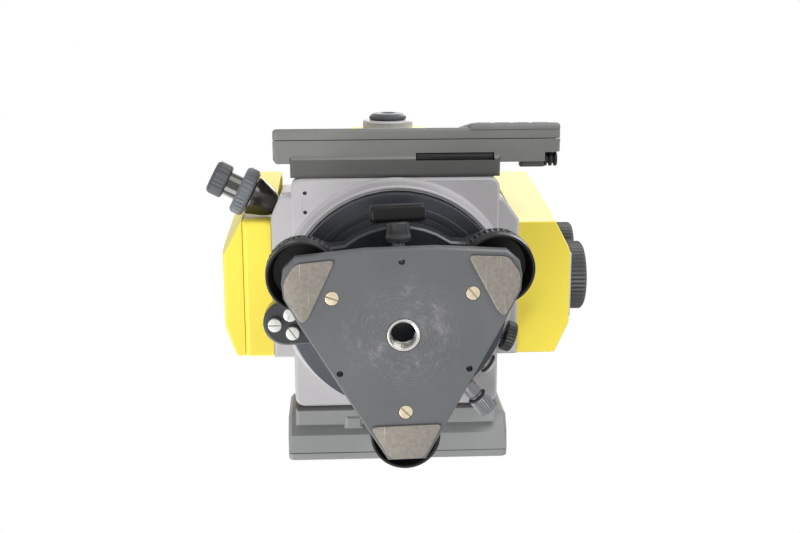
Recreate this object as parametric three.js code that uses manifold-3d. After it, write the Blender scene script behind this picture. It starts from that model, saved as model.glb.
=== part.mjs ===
// A total station: a tribrach with three foot screws carries an alidade with two standards, a wide front
// panel, a narrower rear panel, yellow side covers and a tilting telescope under a carrying handle.
// Millimetres. +Z runs up the vertical axis, the wide front panel faces -Y, and the origin is the middle of
// the plane that the three pads of the base plate rest on.
import * as THREE from "three";
import { mergeVertices } from "three/addons/utils/BufferGeometryUtils.js";
import Module from "manifold-3d";

const wasm = await Module();
wasm.setup();

// Fits and fineness
const fitGap = 0.3;
const runGap = 0.6;
const overrun = 4;
const weldTolerance = 0.001;
const largeFacets = 48;
const mediumFacets = 24;
const smallFacets = 12;
const cornerSteps = 3;
const notchShares = [0, 0.55, 0.78];

// Base plate, with outlines as shares of the plate's reach from the axis
const tribrachYawDegrees = -1.4;
const plateRim = 8.9;
const padThickness = 1.2;
const padEdge = 0.4;
const plateThickness = 8;
const plateEdge = 1;
const plateArchShare = -0.72;
const plateCornerShares = [
  [0.793, -0.626],
  [0.887, -0.539],
  [0.904, -0.43],
  [0.893, -0.316],
  [0.785, -0.105],
  [0.301, 0.739],
  [0.146, 1],
];
const upperPadShares = [
  [0.494, -0.604],
  [0.798, -0.583],
  [0.888, -0.445],
  [0.882, -0.329],
  [0.768, -0.123],
  [0.716, -0.158],
];
const lowerPadShares = [
  [0.278, 0.717],
  [0.133, 0.984],
  [-0.133, 0.984],
  [-0.278, 0.717],
];
const footAngles = [-150, -30, 90];
const holeAngles = [-90, 30, 150];
const smallHoleRadius = 1.85;
const smallHoleInset = 30;

// Threaded bush for the tripod bolt
const threadRadius = 6.7;
const bushRadius = 8.75;
const bushFlangeRadius = 12;
const bushFlangeThickness = 1.5;

// Slotted screws in the base plate
const plateScrewInset = 26.95;
const plateScrewHeadRadius = 3.75;
const plateScrewHeadHeight = 2;
const plateScrewShankRadius = 2;
const plateScrewSlot = 0.9;
const plateScrewSlotAngles = [20, 50, 45];
const plateScrewTip = 0.6;

// Spring plate
const springPlateShare = 0.96;
const springPlateThickness = 1.4;

// Foot screws
const footOffset = 10.8;
const footBallRadius = 4;
const footBallDepth = 2.5;
const footNeckRadius = 2.8;
const footHubRadius = 6.5;
const footHubStart = 13.2;
const cupRimHeight = 14.2;
const cupRimRadius = 19.2;
const cupWall = 1.6;
const cupWebHeight = 27;
const cupTop = 32.2;
const gripStart = 22;
const gripRadius = 19.8;
const gripNotchDepth = 1.1;
const gripNotches = 20;
const footStemRadius = 5;

// Tribrach body
const seatLedge = 4;
const tribrachPlateLow = 46;
const tribrachPlateTop = 61;
const tribrachEdge = 1.2;
const lobeRadius = 13.5;
const lobeLow = 33.2;
const lobeBlendDegrees = 34;
const lobeBlendShare = 0.76;
const hubRadius = 34;
const hubLow = 28;
const seatRadius = 46;
const seatTop = 66;
const stemEnd = 57;

// Lock knob of the tribrach
const lockHeight = 37;
const lockShaftRadius = 3.7;
const lockShaftEnd = 22;
const lockCollarStart = 43;
const lockCollarRadius = 7.4;
const lockBarStart = 54;
const lockBarEnd = 64;
const lockBarHalfLength = 15.3;
const lockBarHalfHeight = 4.5;
const lockBarEdge = 1.4;

// Circular level
const levelGap = 2.85;
const levelDegrees = 177.2;
const levelLobeRadius = 13;
const levelLobeLow = 45;
const levelLobeTop = 57;
const levelFlankReachShare = 0.5;
const levelFlankWidthShare = 2;
const levelScrewCircle = 6.2;
const levelScrewAngles = [180, 55, -65];
const levelScrewRadius = 3.9;
const levelScrewHeight = 3.2;
const levelScrewShank = 1.6;
const levelScrewShankLength = 8;
const levelScrewSlot = 0.8;
const levelCellRadius = 11;
const levelCellHeight = 6;
const levelGlassRadius = 8;
const levelGlassHeight = 2.4;

// Base disc, vertical axis and horizontal circle
const discLow = 68;
const discTop = 77;
const discEdge = 0.8;
const discStepWidth = 7;
const discStepLow = 67.2;
const sleeveRadius = 18;
const sleeveTop = 99;
const sleeveFlangeRadius = 24;
const sleeveFlangeHeight = 2.7;
const spindleRadius = 13;
const spindleFlangeRadius = 20;
const circleRadius = 46;
const circleThickness = 2;

// Alidade casting
const bossRadius = 67;
const bossLow = 78;
const bossWall = 2.4;
const bossEdge = 1;
const recessTop = 86;
const blockHalfWidth = 61.5;
const bossLedge = 3;
const blockLow = 90;
const blockTop = 104;
const blockCorner = 6;
const blockEdge = 1.5;
const endWallTop = 128;
const endWallThickness = 7;
const wingWidth = 12;
const wingLow = 91;
const wingRear = 39;
const leftWingFacet = 5.5;
const leftWingFacetRun = 12.5;
const leftWingSetback = 10.5;
const rightWingFacet = 9.5;
const rightWingFacetRun = 13.4;
const rightWingSetback = 12.6;
const standardInner = 38;
const standardRise = 45;
const standardFront = -42;
const standardRear = 38;
const standardEdge = 3;
const standardPocketWall = 5;
const standardPocketDrop = 20;
const guideHoleRadius = 1.2;
const guideHoleInset = 8.3;
const guideHoleSetbacks = [8.5, 19.9];
const guideHoleDepth = 5;

// Horizontal axis, over the front panel by a gap under the focusing ring
const scopePanelGap = 27.3;
const trunnionRadius = 11;
const trunnionInset = 7.5;
const trunnionStubRadius = 6;
const trunnionStubProud = 2;
const verticalCircleRadius = 30;
const verticalCircleGap = 2.5;
const verticalCircleThickness = 2;

// Front panel
const panelLow = 92;
const panelLeanDegrees = 8;
const frontLeft = -71.5;
const frontRight = 97;
const frontStandoff = 8.5;
const frontCaseDepth = 13.5;
const frontLidDepth = 7;
const frontRaise = 2.6;
const frontRaisedFrom = 42;
const frontBackDrop = 20;
const frontTopMargin = 11;
const neckTop = 128;
const panelSideEdge = 2;
const slotLeft = 12;
const slotRight = 58;
const slotWall = 1.3;
const slotWidth = 4.4;
const slotDepth = 4;
const slotCoverInset = 0.8;
const connectorBossLeft = 74;
const connectorBossRight = 88;
const connectorBossProud = 3.5;
const connectorShankDepth = 5;
const connectorBossLow = 94;
const connectorBossTop = 104;
const capInset = 0.7;
const capRadius = 4.2;
const capCoreRadius = 2.6;
const capFins = 3;
const capFinPitch = 3;
const capFinWidth = 1.6;

// Rear panel
const rearLeft = -66.5;
const rearRight = 68.5;
const rearStandoff = 8.5;
const rearBevelLow = 101;
const rearBevelRun = 11;
const rearCaseDepth = 22.3;
const rearLidDepth = 5.5;
const rearBackDrop = 19;
const rearTopMargin = 9;
const rearBossX = -26.2;
const rearBossHalfWidth = 5.8;
const rearBossProud = 2.7;
const rearBossDepth = 9.2;
const rearBossLow = 89;
const rearBossTop = 100;
const rearBossEdge = 2;

// What the panel faces carry: places along X and up the leaning face
const faceInset = 1.2;
const faceThickness = 1;
const displayLow = 18;
const displayHigh = 58;
const frontDisplayLeft = -63;
const frontDisplayRight = 34;
const frontKeysLeft = 47;
const frontKeysRight = 92;
const frontKeysLow = 8;
const frontKeysHigh = 44;
const rearDisplayLeft = -58;
const rearDisplayRight = 16;
const rearKeysLeft = 22;
const rearKeysRight = 58;
const rearKeysLow = 8;
const rearKeysHigh = 44;
const powerKeyRadius = 4;
const powerKeyUp = 54;
const powerKeyProud = 1.6;
const powerKeyDepth = 3.4;
const frontPowerX = 84;
const rearPowerX = 50;

// Side covers: places of their corners at rising heights, the last two under the standards' top
const coverWall = 3;
const coverLow = 95;
const coverBend = 112;
const coverMiddle = 130;
const coverShoulderDrop = 18;
const coverTopDrop = 2;
const rightFrontDepths = [22.5, 23.5, 24.5, 25.5, 17.5];
const rightOuterDepths = [32, 33.8, 34, 34, 24.5];
const rightRearDepths = [23.5, 24.5, 25, 25, 17.5];
const leftFrontDepths = [18, 18.5, 19, 20.5, 14.5];
const leftOuterDepths = [29, 31, 31.5, 31.5, 22.5];
const leftRearDepths = [22.8, 23.5, 24, 24, 16.5];
const rightSetbacks = [2, 2, 0.5, -8, -3];
const leftSetbacks = [3, 3, 2, -7, -2];
const coverFaceFronts = [-23, -23, -24, -30, -26];
const coverFaceRears = [21, 22, 23, 23, 20];
const coverRears = [39.5, 40, 40, 40, 35];
const batterySeamDepth = 17.5;
const batteryHeadroom = 29;
const batteryLow = 98;
const batteryLatchHalfWidth = 14;
const batteryLatchGap = 2;
const batteryLatchLength = 12;
const batteryLatchThickness = 3;
const batteryLatchTravel = 4;
const batteryLatchEdge = 0.8;

// Knob panel and the knobs of the vertical motion
const knobPanelFront = -18;
const knobPanelRear = 22;
const knobPanelRise = 2;
const knobPanelDrop = 2;
const knobPanelThickness = 2.2;
const knobPanelEdge = 0.6;
const knobRoom = 3;
const tangentKnobY = 4;
const tangentKnobRadius = 22;
const tangentKnobLength = 13;
const clampKnobY = -8.4;
const clampKnobDrop = 17;
const clampKnobRadius = 15;
const clampKnobLength = 13;
const knobShaftRadius = 4;
const knobShaftDepth = 9;
const knobEdge = 1.2;
const knurlDepth = 0.9;
const tangentKnurls = 28;
const clampKnurls = 20;

// Knobs of the horizontal motion and the plug between them
const lowKnobHeight = 79;
const lowShaftDepth = 2.2;
const lowShaftRadius = 3;
const turnClampDegrees = 20;
const turnClampRadius = 9;
const turnClampLength = 6.6;
const plugDegrees = 37;
const plugRadius = 6;
const plugLength = 3.6;
const turnTangentDegrees = 52;
const turnTangentShaft = 4.5;
const turnTangentStandoff = 11.6;
const turnTangentLength = 11.4;
const turnTangentRadius = 6;
const turnTangentKnurls = 14;
const ringStandoff = 9;
const ringRadius = 5.9;

// Optical plummet, along its own axis from the facet of the left wing
const plummetInset = 3.5;
const plummetRun = 2.5;
const plummetHeight = 112;
const plummetDegrees = 207;
const plummetShank = 6;
const plummetShankDepth = 14;
const plummetStart = 2.8;
const plummetRootRadius = 6.6;
const plummetTubeRadius = 12;
const plummetTubeEnd = 17.7;
const plummetRingRadius = 14.7;
const plummetRingEnd = 26;
const plummetRingNotches = 20;
const plummetNeckRadius = 7.6;
const plummetNeckEnd = 36;
const plummetEyeStart = 33.8;
const plummetEyeEnd = 44;
const plummetEyeRadius = 10.3;
const plummetEyeKnurls = 16;
const plummetEyeBore = 5;

// Telescope, along Y from the horizontal axis
const scopeYs = [-86, -72, -40, 40, 62];
const scopeHalfWidths = [28, 33, 33, 33, 28];
const scopeHalfHeights = [15, 23, 27, 27, 25];
const scopeCornerShare = 0.3;
const barrelRadius = 24;
const barrelEnd = 82;
const barrelSeat = 50;
const barrelShankRadius = 20;
const barrelWall = 3;
const lensSeat = 70;
const lensThickness = 4;
const focusRingRadius = 16.7;
const focusRingEnd = 92.2;
const focusNeckRadius = 9;
const focusNeckDepth = 8;
const focusKnurls = 20;
const eyepieceRadius = 12.6;
const eyepieceEnd = 96.8;
const eyepieceShankRadius = 6;
const eyepieceKnurls = 16;
const eyepieceBore = 4;
const eyepieceBoreDepth = 3;

// Carrying handle
const handleArmInset = 9.5;
const handleArmWidth = 15;
const handleHalfDepth = 13;
const handleRise = 93;
const handleGripThickness = 29;
const handleEdge = 3;
const handleScrewRise = 12;
const handleScrewRadius = 6.5;
const handleScrewLength = 6;
const handleScrewShank = 2.5;
const handleScrewShankLength = 10;
const handleScrewKnurls = 10;

// Circuit board in the pocket of the right standard
const boardThickness = 1.6;
const boardMargin = 6;
const boardStandoff = 4;
const boardPostRadius = 2.5;

// Radii and places across the vertical axis that follow from the sizes above
const tribrachRadius = seatRadius + seatLedge;
const footCircle = tribrachRadius + footOffset;
const plateReach = footCircle + plateRim;
const plateScrewCircle = plateReach - plateScrewInset;
const smallHoleCircle = plateReach - smallHoleInset;
const levelReach = tribrachRadius + levelGap + levelCellRadius;
const levelTurn = THREE.MathUtils.degToRad(levelDegrees);
const levelX = levelReach * Math.cos(levelTurn);
const levelY = levelReach * Math.sin(levelTurn);
const bossInner = bossRadius - bossWall;
const discRadius = bossInner - runGap;
const discStepRadius = discRadius - discStepWidth;
const turnTangentGripStart = bossRadius + turnTangentStandoff;
const ringStart = bossRadius + ringStandoff;
const blockHalfDepth = bossRadius + bossLedge;
const leftWingFacetFront = leftWingSetback - blockHalfDepth;
const leftWingFront = leftWingFacetFront + leftWingFacetRun;
const rightWingFacetFront = rightWingSetback - blockHalfDepth;
const rightWingFront = rightWingFacetFront + rightWingFacetRun;
const guideHoleX = guideHoleInset - blockHalfWidth;
const frontBack = -blockHalfDepth - frontStandoff;
const frontParting = frontBack - frontCaseDepth;
const frontFace = frontParting - frontLidDepth;
const frontRaisedFace = frontFace - frontRaise;
const slotRear = frontBack - slotWall;
const slotFront = slotRear - slotWidth;
const connectorBossRear = frontBack + connectorBossProud;
const capY = frontBack - capInset;
const rearBack = blockHalfDepth + rearStandoff;
const rearParting = rearBack + rearCaseDepth;
const rearFace = rearParting + rearLidDepth;
const rearBossFront = rearBack - rearBossProud;
const rearBossRear = rearBossFront + rearBossDepth;
const wingReach = blockHalfWidth + wingWidth;
const trunnionEnd = wingReach - trunnionInset;
const verticalCircleX = wingReach + verticalCircleGap;
const trunnionStubEnd = verticalCircleX + verticalCircleThickness + trunnionStubProud;
const coverInner = wingReach + fitGap;
const rightOuter = wingReach + rightOuterDepths[2];
const leftOuter = wingReach + leftOuterDepths[2];
const batterySeam = wingReach + batterySeamDepth;
const plummetX = plummetInset - wingReach;
const plummetY = leftWingFront - plummetRun;
const handleArmOuter = wingReach - handleArmInset;
const handleArmInner = handleArmOuter - handleArmWidth;

// Heights that follow from the sizes above
const plateLow = padThickness + fitGap;
const plateTop = plateLow + plateThickness;
const springLow = plateTop + fitGap;
const springTop = springLow + springPlateThickness;
const ballCentre = plateTop - footBallDepth;
const ballNeckRise = Math.sqrt(footBallRadius ** 2 - footNeckRadius ** 2);
const sleeveInner = spindleRadius + fitGap;
const discBottom = seatTop + fitGap;
const circleLow = discTop + sleeveFlangeHeight + 2 * fitGap;
const leanSlope = Math.tan(THREE.MathUtils.degToRad(panelLeanDegrees));
const frontTop = panelLow + displayHigh + frontTopMargin;
const frontBackTop = frontTop - frontBackDrop;
const rearTop = panelLow + displayHigh + rearTopMargin;
const rearBackTop = rearTop - rearBackDrop;
const axisHeight = frontTop + scopePanelGap + focusRingRadius;
const standardTop = axisHeight + standardRise;
const standardPocketTop = axisHeight - standardPocketDrop;
const coverShoulder = standardTop - coverShoulderDrop;
const coverHeights = [coverLow, coverBend, coverMiddle, coverShoulder, standardTop - coverTopDrop];
const batteryTop = coverShoulder - batteryHeadroom;
const batteryLatchLow = batteryTop + batteryLatchGap;
const batteryLatchTop = batteryLatchLow + batteryLatchLength;
const knobPanelLow = coverBend + knobPanelRise;
const knobPanelTop = coverShoulder - knobPanelDrop;
const knobReach = tangentKnobRadius + clampKnobRadius + knobRoom;
const clampKnobHeight = axisHeight - clampKnobDrop;
const tangentKnobHeight = clampKnobHeight - Math.sqrt(knobReach ** 2 - (tangentKnobY - clampKnobY) ** 2);
const handleTop = standardTop + handleRise;
const handleGripLow = handleTop - handleGripThickness;
const handleScrewHeight = standardTop + handleScrewRise;
const capHeight = (connectorBossLow + connectorBossTop) / 2;

// Paints and plastics
const colours = {
  casting: { color: 0xb2b0b3, roughness: 0.5, metalness: 0.1 },
  yellow: { color: 0xf6dc4e, roughness: 0.45, metalness: 0 },
  panelGrey: { color: 0x74736f, roughness: 0.55, metalness: 0 },
  tribrachGrey: { color: 0x5d6266, roughness: 0.5, metalness: 0.2 },
  padMetal: { color: 0xb9b5aa, roughness: 0.35, metalness: 0.8 },
  brass: { color: 0xd8c79a, roughness: 0.35, metalness: 0.9 },
  steel: { color: 0xc4c4c4, roughness: 0.3, metalness: 1 },
  black: { color: 0x1b1b1c, roughness: 0.6, metalness: 0 },
  knobGrey: { color: 0x3d3f42, roughness: 0.6, metalness: 0 },
  glass: { color: 0xcfdad6, roughness: 0.1, metalness: 0 },
  boardGreen: { color: 0x2d6b3f, roughness: 0.6, metalness: 0 },
};

// A closed mesh as a solid that can be joined and cut.
function solidOf(geometry) {
  const bare = geometry.clone();
  bare.deleteAttribute("normal");
  bare.deleteAttribute("uv");
  const merged = mergeVertices(bare, weldTolerance);
  return new wasm.Manifold(
    new wasm.Mesh({
      numProp: 3,
      vertProperties: Float32Array.from(merged.attributes.position.array),
      triVerts: Uint32Array.from(merged.index.array),
    }),
  );
}

// The surface of a solid as a mesh again.
function geometryOf(solid) {
  const mesh = solid.getMesh();
  const geometry = new THREE.BufferGeometry();
  geometry.setAttribute("position", new THREE.BufferAttribute(mesh.vertProperties, 3));
  geometry.setIndex(new THREE.BufferAttribute(mesh.triVerts, 1));
  geometry.computeVertexNormals();
  return geometry;
}

function cut(body, ...tools) {
  const start = solidOf(body);
  return geometryOf(tools.reduce((rest, tool) => rest.subtract(solidOf(tool)), start));
}

function join(...bodies) {
  return geometryOf(bodies.map(solidOf).reduce((sum, body) => sum.add(body)));
}

// A profile of [radius, height] points, turned round Z. It starts and ends on the axis, or closes on itself.
function turned(profile, sides) {
  const points = profile.map(([radius, height]) => new THREE.Vector2(radius, height));
  return new THREE.LatheGeometry(points, sides).rotateX(Math.PI / 2);
}

function rod(radius, low, high, sides) {
  return turned([[0, low], [radius, low], [radius, high], [0, high]], sides);
}

// A rod whose two rims are chamfered.
function softRod(radius, low, high, edge, sides) {
  const inner = radius - edge;
  return turned(
    [[0, low], [inner, low], [radius, low + edge], [radius, high - edge], [inner, high], [0, high]],
    sides,
  );
}

function ring(inner, outer, low, high, sides) {
  return turned([[inner, low], [outer, low], [outer, high], [inner, high], [inner, low]], sides);
}

// A flat outline with thickness from low to high, its rims chamfered by edge.
function slab(shape, low, high, edge = 0) {
  const geometry = new THREE.ExtrudeGeometry(shape, {
    depth: high - low - 2 * edge,
    bevelEnabled: edge > 0,
    bevelThickness: edge,
    bevelSize: edge,
    bevelOffset: -edge,
    bevelSegments: 1,
    curveSegments: cornerSteps,
  });
  return geometry.translate(0, 0, low + edge);
}

function outline(points) {
  return new THREE.Shape(points.map(([x, y]) => new THREE.Vector2(x, y)));
}

function box([left, right], [front, rear], [low, high], edge = 0) {
  const corners = [[left, front], [right, front], [right, rear], [left, rear]];
  return slab(outline(corners), low, high, edge);
}

// A rectangle in plan whose four corners are round.
function roundedRectangle(halfWidth, halfDepth, radius) {
  const shape = new THREE.Shape();
  shape.absarc(halfWidth - radius, halfDepth - radius, radius, 0, Math.PI / 2);
  shape.absarc(radius - halfWidth, halfDepth - radius, radius, Math.PI / 2, Math.PI);
  shape.absarc(radius - halfWidth, radius - halfDepth, radius, Math.PI, 1.5 * Math.PI);
  shape.absarc(halfWidth - radius, radius - halfDepth, radius, 1.5 * Math.PI, 2 * Math.PI);
  return shape;
}

// Skin over loops of points that run anticlockwise seen from the last loop, with flat ends.
function loft(loops) {
  const count = loops[0].length;
  const faces = [];
  for (let level = 0; level < loops.length - 1; level += 1) {
    for (let i = 0; i < count; i += 1) {
      const a = level * count + i;
      const b = level * count + ((i + 1) % count);
      faces.push(a, b, b + count, a, b + count, a + count);
    }
  }
  const top = (loops.length - 1) * count;
  for (let i = 1; i < count - 1; i += 1) {
    faces.push(0, i + 1, i, top, top + i, top + i + 1);
  }
  const geometry = new THREE.BufferGeometry();
  geometry.setAttribute("position", new THREE.Float32BufferAttribute(loops.flat(2), 3));
  geometry.setIndex(faces);
  return geometry;
}

// A finger grip: a rod along Z with notches along it and chamfered rims.
function grip(radius, low, high, depth, notches, edge) {
  const loop = (height, ridge, floor) => {
    const points = [];
    for (let i = 0; i < notches; i += 1) {
      notchShares.forEach((step, index) => {
        const angle = (2 * Math.PI * (i + step)) / notches;
        const reach = index === notchShares.length - 1 ? floor : ridge;
        points.push([reach * Math.cos(angle), reach * Math.sin(angle), height]);
      });
    }
    return points;
  };
  const floor = radius - depth;
  return loft([
    loop(low, floor - edge, floor - edge),
    loop(low + edge, radius, floor),
    loop(high - edge, radius, floor),
    loop(high, floor - edge, floor - edge),
  ]);
}

// A section of [y, z] points carried along X.
function section(points, left, right, edge = 0) {
  const shape = outline(points);
  return slab(shape, left, right, edge).applyMatrix4(
    new THREE.Matrix4().set(0, 0, 1, 0, 1, 0, 0, 0, 0, 1, 0, 0, 0, 0, 0, 1),
  );
}

// Carries a shape made along Z to a place, with its Z along a direction.
function placed(geometry, place, direction) {
  const turn = new THREE.Quaternion().setFromUnitVectors(
    new THREE.Vector3(0, 0, 1),
    new THREE.Vector3(...direction).normalize(),
  );
  return geometry.applyQuaternion(turn).translate(...place);
}

function around(geometry, radius, degrees) {
  const angle = THREE.MathUtils.degToRad(degrees);
  return geometry.translate(radius * Math.cos(angle), radius * Math.sin(angle), 0);
}

// A slot cut across the head of a screw that faces down.
function screwSlot(radius, width, low, depth, degrees) {
  const reach = radius + overrun;
  const bar = box([-reach, reach], [-width / 2, width / 2], [low - overrun, low + depth]);
  return bar.rotateZ(THREE.MathUtils.degToRad(degrees));
}

const instrument = new THREE.Group();
const tribrach = new THREE.Group();
tribrach.rotation.z = THREE.MathUtils.degToRad(tribrachYawDegrees);
instrument.add(tribrach);

function piece(name, geometry, finish, parent = instrument) {
  const mesh = new THREE.Mesh(geometry, new THREE.MeshStandardMaterial(finish));
  mesh.name = name;
  parent.add(mesh);
}

// Base plate: a triangle with blunt corners and a slightly arched front edge
function plateOutline(share) {
  const reach = plateReach * share;
  const right = plateCornerShares.map(([x, y]) => [x * reach, y * reach]);
  const left = right.map(([x, y]) => [-x, y]).reverse();
  const shape = new THREE.Shape();
  shape.moveTo(...right[0]);
  right.slice(1).concat(left).forEach(([x, y]) => shape.lineTo(x, y));
  shape.quadraticCurveTo(0, plateArchShare * reach, ...right[0]);
  return shape;
}

function basePlate() {
  const tools = [rod(bushRadius + fitGap, plateLow - overrun, plateTop + overrun, mediumFacets)];
  const headTop = plateLow + plateScrewHeadHeight + fitGap;
  footAngles.forEach((angle) => {
    const head = plateScrewHeadRadius + fitGap;
    const shank = plateScrewShankRadius + fitGap;
    const socketFloor = ballCentre - footBallRadius - fitGap;
    const recess = rod(head, plateLow - overrun, headTop, smallFacets);
    const bore = rod(shank, plateLow, plateTop + overrun, smallFacets);
    tools.push(around(recess, plateScrewCircle, angle), around(bore, plateScrewCircle, angle));
    const socket = rod(footBallRadius + fitGap, socketFloor, plateTop + overrun, smallFacets);
    tools.push(around(socket, footCircle, angle));
  });
  holeAngles.forEach((angle) => {
    const hole = rod(smallHoleRadius, plateLow - overrun, plateTop + overrun, smallFacets);
    tools.push(around(hole, smallHoleCircle, angle));
  });
  return cut(slab(plateOutline(1), plateLow, plateTop, plateEdge), ...tools);
}

function pad(shares, side) {
  const points = shares.map(([x, y]) => [x * plateReach * side, y * plateReach]);
  return slab(outline(points), 0, padThickness, padEdge);
}

function plateScrew(index) {
  const headLow = plateLow;
  const headTop = headLow + plateScrewHeadHeight;
  const tip = springTop + plateScrewTip;
  const body = turned(
    [
      [0, headLow],
      [plateScrewHeadRadius, headLow],
      [plateScrewHeadRadius, headTop],
      [plateScrewShankRadius, headTop],
      [plateScrewShankRadius, tip],
      [0, tip],
    ],
    smallFacets,
  );
  const slot = screwSlot(
    plateScrewHeadRadius,
    plateScrewSlot,
    headLow,
    plateScrewHeadHeight / 2,
    plateScrewSlotAngles[index],
  );
  return around(cut(body, slot), plateScrewCircle, footAngles[index]);
}

function springPlate() {
  const tools = [rod(bushRadius + fitGap, springLow - overrun, springTop + overrun, mediumFacets)];
  footAngles.forEach((angle) => {
    const neck = rod(footNeckRadius + fitGap, springLow - overrun, springTop + overrun, smallFacets);
    const shank = rod(plateScrewShankRadius + fitGap, springLow - overrun, springTop + overrun, smallFacets);
    tools.push(around(neck, footCircle, angle), around(shank, plateScrewCircle, angle));
  });
  return cut(slab(plateOutline(springPlateShare), springLow, springTop), ...tools);
}

function threadBush() {
  const flangeLow = springTop + fitGap;
  const top = flangeLow + bushFlangeThickness;
  return turned(
    [
      [threadRadius, plateLow],
      [bushRadius, plateLow],
      [bushRadius, flangeLow],
      [bushFlangeRadius, flangeLow],
      [bushFlangeRadius, top],
      [threadRadius, top],
      [threadRadius, plateLow],
    ],
    mediumFacets,
  );
}

// Foot screw: a ball that the spring plate holds, a cup-shaped knob and a threaded stem
function footScrew() {
  const ball = [];
  const ballEnd = Math.asin(ballNeckRise / footBallRadius);
  const ballSteps = 5;
  for (let i = 0; i <= ballSteps; i += 1) {
    const angle = -Math.PI / 2 + ((ballEnd + Math.PI / 2) * i) / ballSteps;
    ball.push([footBallRadius * Math.cos(angle), ballCentre + footBallRadius * Math.sin(angle)]);
  }
  ball[0][0] = 0;
  const inside = cupRimRadius - cupWall;
  const body = turned(
    [
      ...ball,
      [footNeckRadius, footHubStart],
      [footHubRadius, footHubStart],
      [footHubRadius, cupWebHeight],
      [inside - cupWall, cupWebHeight],
      [inside, cupRimHeight],
      [cupRimRadius, cupRimHeight],
      [cupRimRadius, cupTop - gripNotchDepth],
      [cupRimRadius - gripNotchDepth, cupTop],
      [footStemRadius, cupTop],
      [footStemRadius, stemEnd - runGap],
      [0, stemEnd - runGap],
    ],
    mediumFacets,
  );
  const band = grip(gripRadius, gripStart, cupTop - gripNotchDepth, gripNotchDepth, gripNotches, fitGap);
  const clear = rod(inside - cupWall / 2, gripStart - overrun, gripStart + overrun, mediumFacets);
  const core = rod(cupRimRadius - cupWall / 2, gripStart - overrun, cupTop + overrun, mediumFacets);
  return join(body, cut(band, clear, core));
}

// Plan of the tribrach's round body with a lobe over each foot screw
function tribrachOutline() {
  const shape = new THREE.Shape();
  const blend = THREE.MathUtils.degToRad(lobeBlendDegrees);
  footAngles.forEach((degrees, index) => {
    const angle = THREE.MathUtils.degToRad(degrees);
    const at = (radial, side) => [
      radial * Math.cos(angle) - side * Math.sin(angle),
      radial * Math.sin(angle) + side * Math.cos(angle),
    ];
    const start = at(tribrachRadius * Math.cos(blend), -tribrachRadius * Math.sin(blend));
    if (index === 0) shape.moveTo(...start);
    const bend = footCircle * lobeBlendShare;
    shape.quadraticCurveTo(...at(bend, -lobeRadius), ...at(footCircle, -lobeRadius));
    const [x, y] = at(footCircle, 0);
    shape.absarc(x, y, lobeRadius, angle - Math.PI / 2, angle + Math.PI / 2);
    const end = at(tribrachRadius * Math.cos(blend), tribrachRadius * Math.sin(blend));
    shape.quadraticCurveTo(...at(bend, lobeRadius), ...end);
    const next = THREE.MathUtils.degToRad(footAngles[(index + 1) % footAngles.length]);
    const from = angle + blend;
    const until = next - blend + (next < angle ? 2 * Math.PI : 0);
    for (let i = 1; i <= 2 * cornerSteps; i += 1) {
      const turn = from + ((until - from) * i) / (2 * cornerSteps);
      shape.lineTo(tribrachRadius * Math.cos(turn), tribrachRadius * Math.sin(turn));
    }
  });
  return shape;
}

function levelLobe() {
  const steps = 4 * cornerSteps;
  const points = [
    [0, levelLobeRadius + tribrachEdge],
    [levelReach * levelFlankReachShare, levelLobeRadius * levelFlankWidthShare],
  ];
  for (let i = 0; i <= steps; i += 1) {
    const angle = Math.PI / 2 - (Math.PI * i) / steps;
    points.push([levelReach + levelLobeRadius * Math.cos(angle), levelLobeRadius * Math.sin(angle)]);
  }
  points.push([0, -levelLobeRadius - tribrachEdge]);
  const lobe = slab(outline(points), levelLobeLow, levelLobeTop, tribrachEdge);
  return lobe.rotateZ(levelTurn);
}

function levelScrewPlaces() {
  return levelScrewAngles.map((degrees) => {
    const angle = THREE.MathUtils.degToRad(degrees);
    return [levelX + levelScrewCircle * Math.cos(angle), levelY + levelScrewCircle * Math.sin(angle), 0];
  });
}

function tribrachBody() {
  const parts = [
    slab(tribrachOutline(), tribrachPlateLow, tribrachPlateTop, tribrachEdge),
    rod(hubRadius, hubLow, tribrachPlateLow + overrun, largeFacets),
    rod(seatRadius, tribrachPlateTop - overrun, seatTop, largeFacets),
    levelLobe(),
  ];
  const tools = [];
  footAngles.forEach((angle) => {
    parts.push(around(rod(lobeRadius, lobeLow, tribrachPlateLow + overrun, mediumFacets), footCircle, angle));
    const bore = rod(footStemRadius + fitGap, lobeLow - overrun, stemEnd, smallFacets);
    tools.push(around(bore, footCircle, angle));
  });
  const lockBore = rod(lockShaftRadius + fitGap, lockShaftEnd - runGap, hubRadius + overrun, smallFacets);
  tools.push(placed(lockBore, [0, 0, lockHeight], [0, -1, 0]));
  levelScrewPlaces().forEach((place) => {
    const holeTop = levelLobeLow + levelScrewShankLength + fitGap;
    const hole = rod(levelScrewShank + fitGap, levelLobeLow - overrun, holeTop, smallFacets);
    tools.push(hole.translate(...place));
  });
  return cut(join(...parts), ...tools);
}

function lockKnob() {
  const body = turned(
    [
      [0, lockShaftEnd],
      [lockShaftRadius, lockShaftEnd],
      [lockShaftRadius, lockCollarStart],
      [lockCollarRadius, lockCollarStart],
      [lockCollarRadius, lockBarStart + lockBarEdge],
      [0, lockBarStart + lockBarEdge],
    ],
    mediumFacets,
  );
  const bar = box(
    [-lockBarHalfLength, lockBarHalfLength],
    [-lockBarHalfHeight, lockBarHalfHeight],
    [lockBarStart, lockBarEnd],
    lockBarEdge,
  );
  return placed(join(body, bar), [0, 0, lockHeight], [0, -1, 0]);
}

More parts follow.
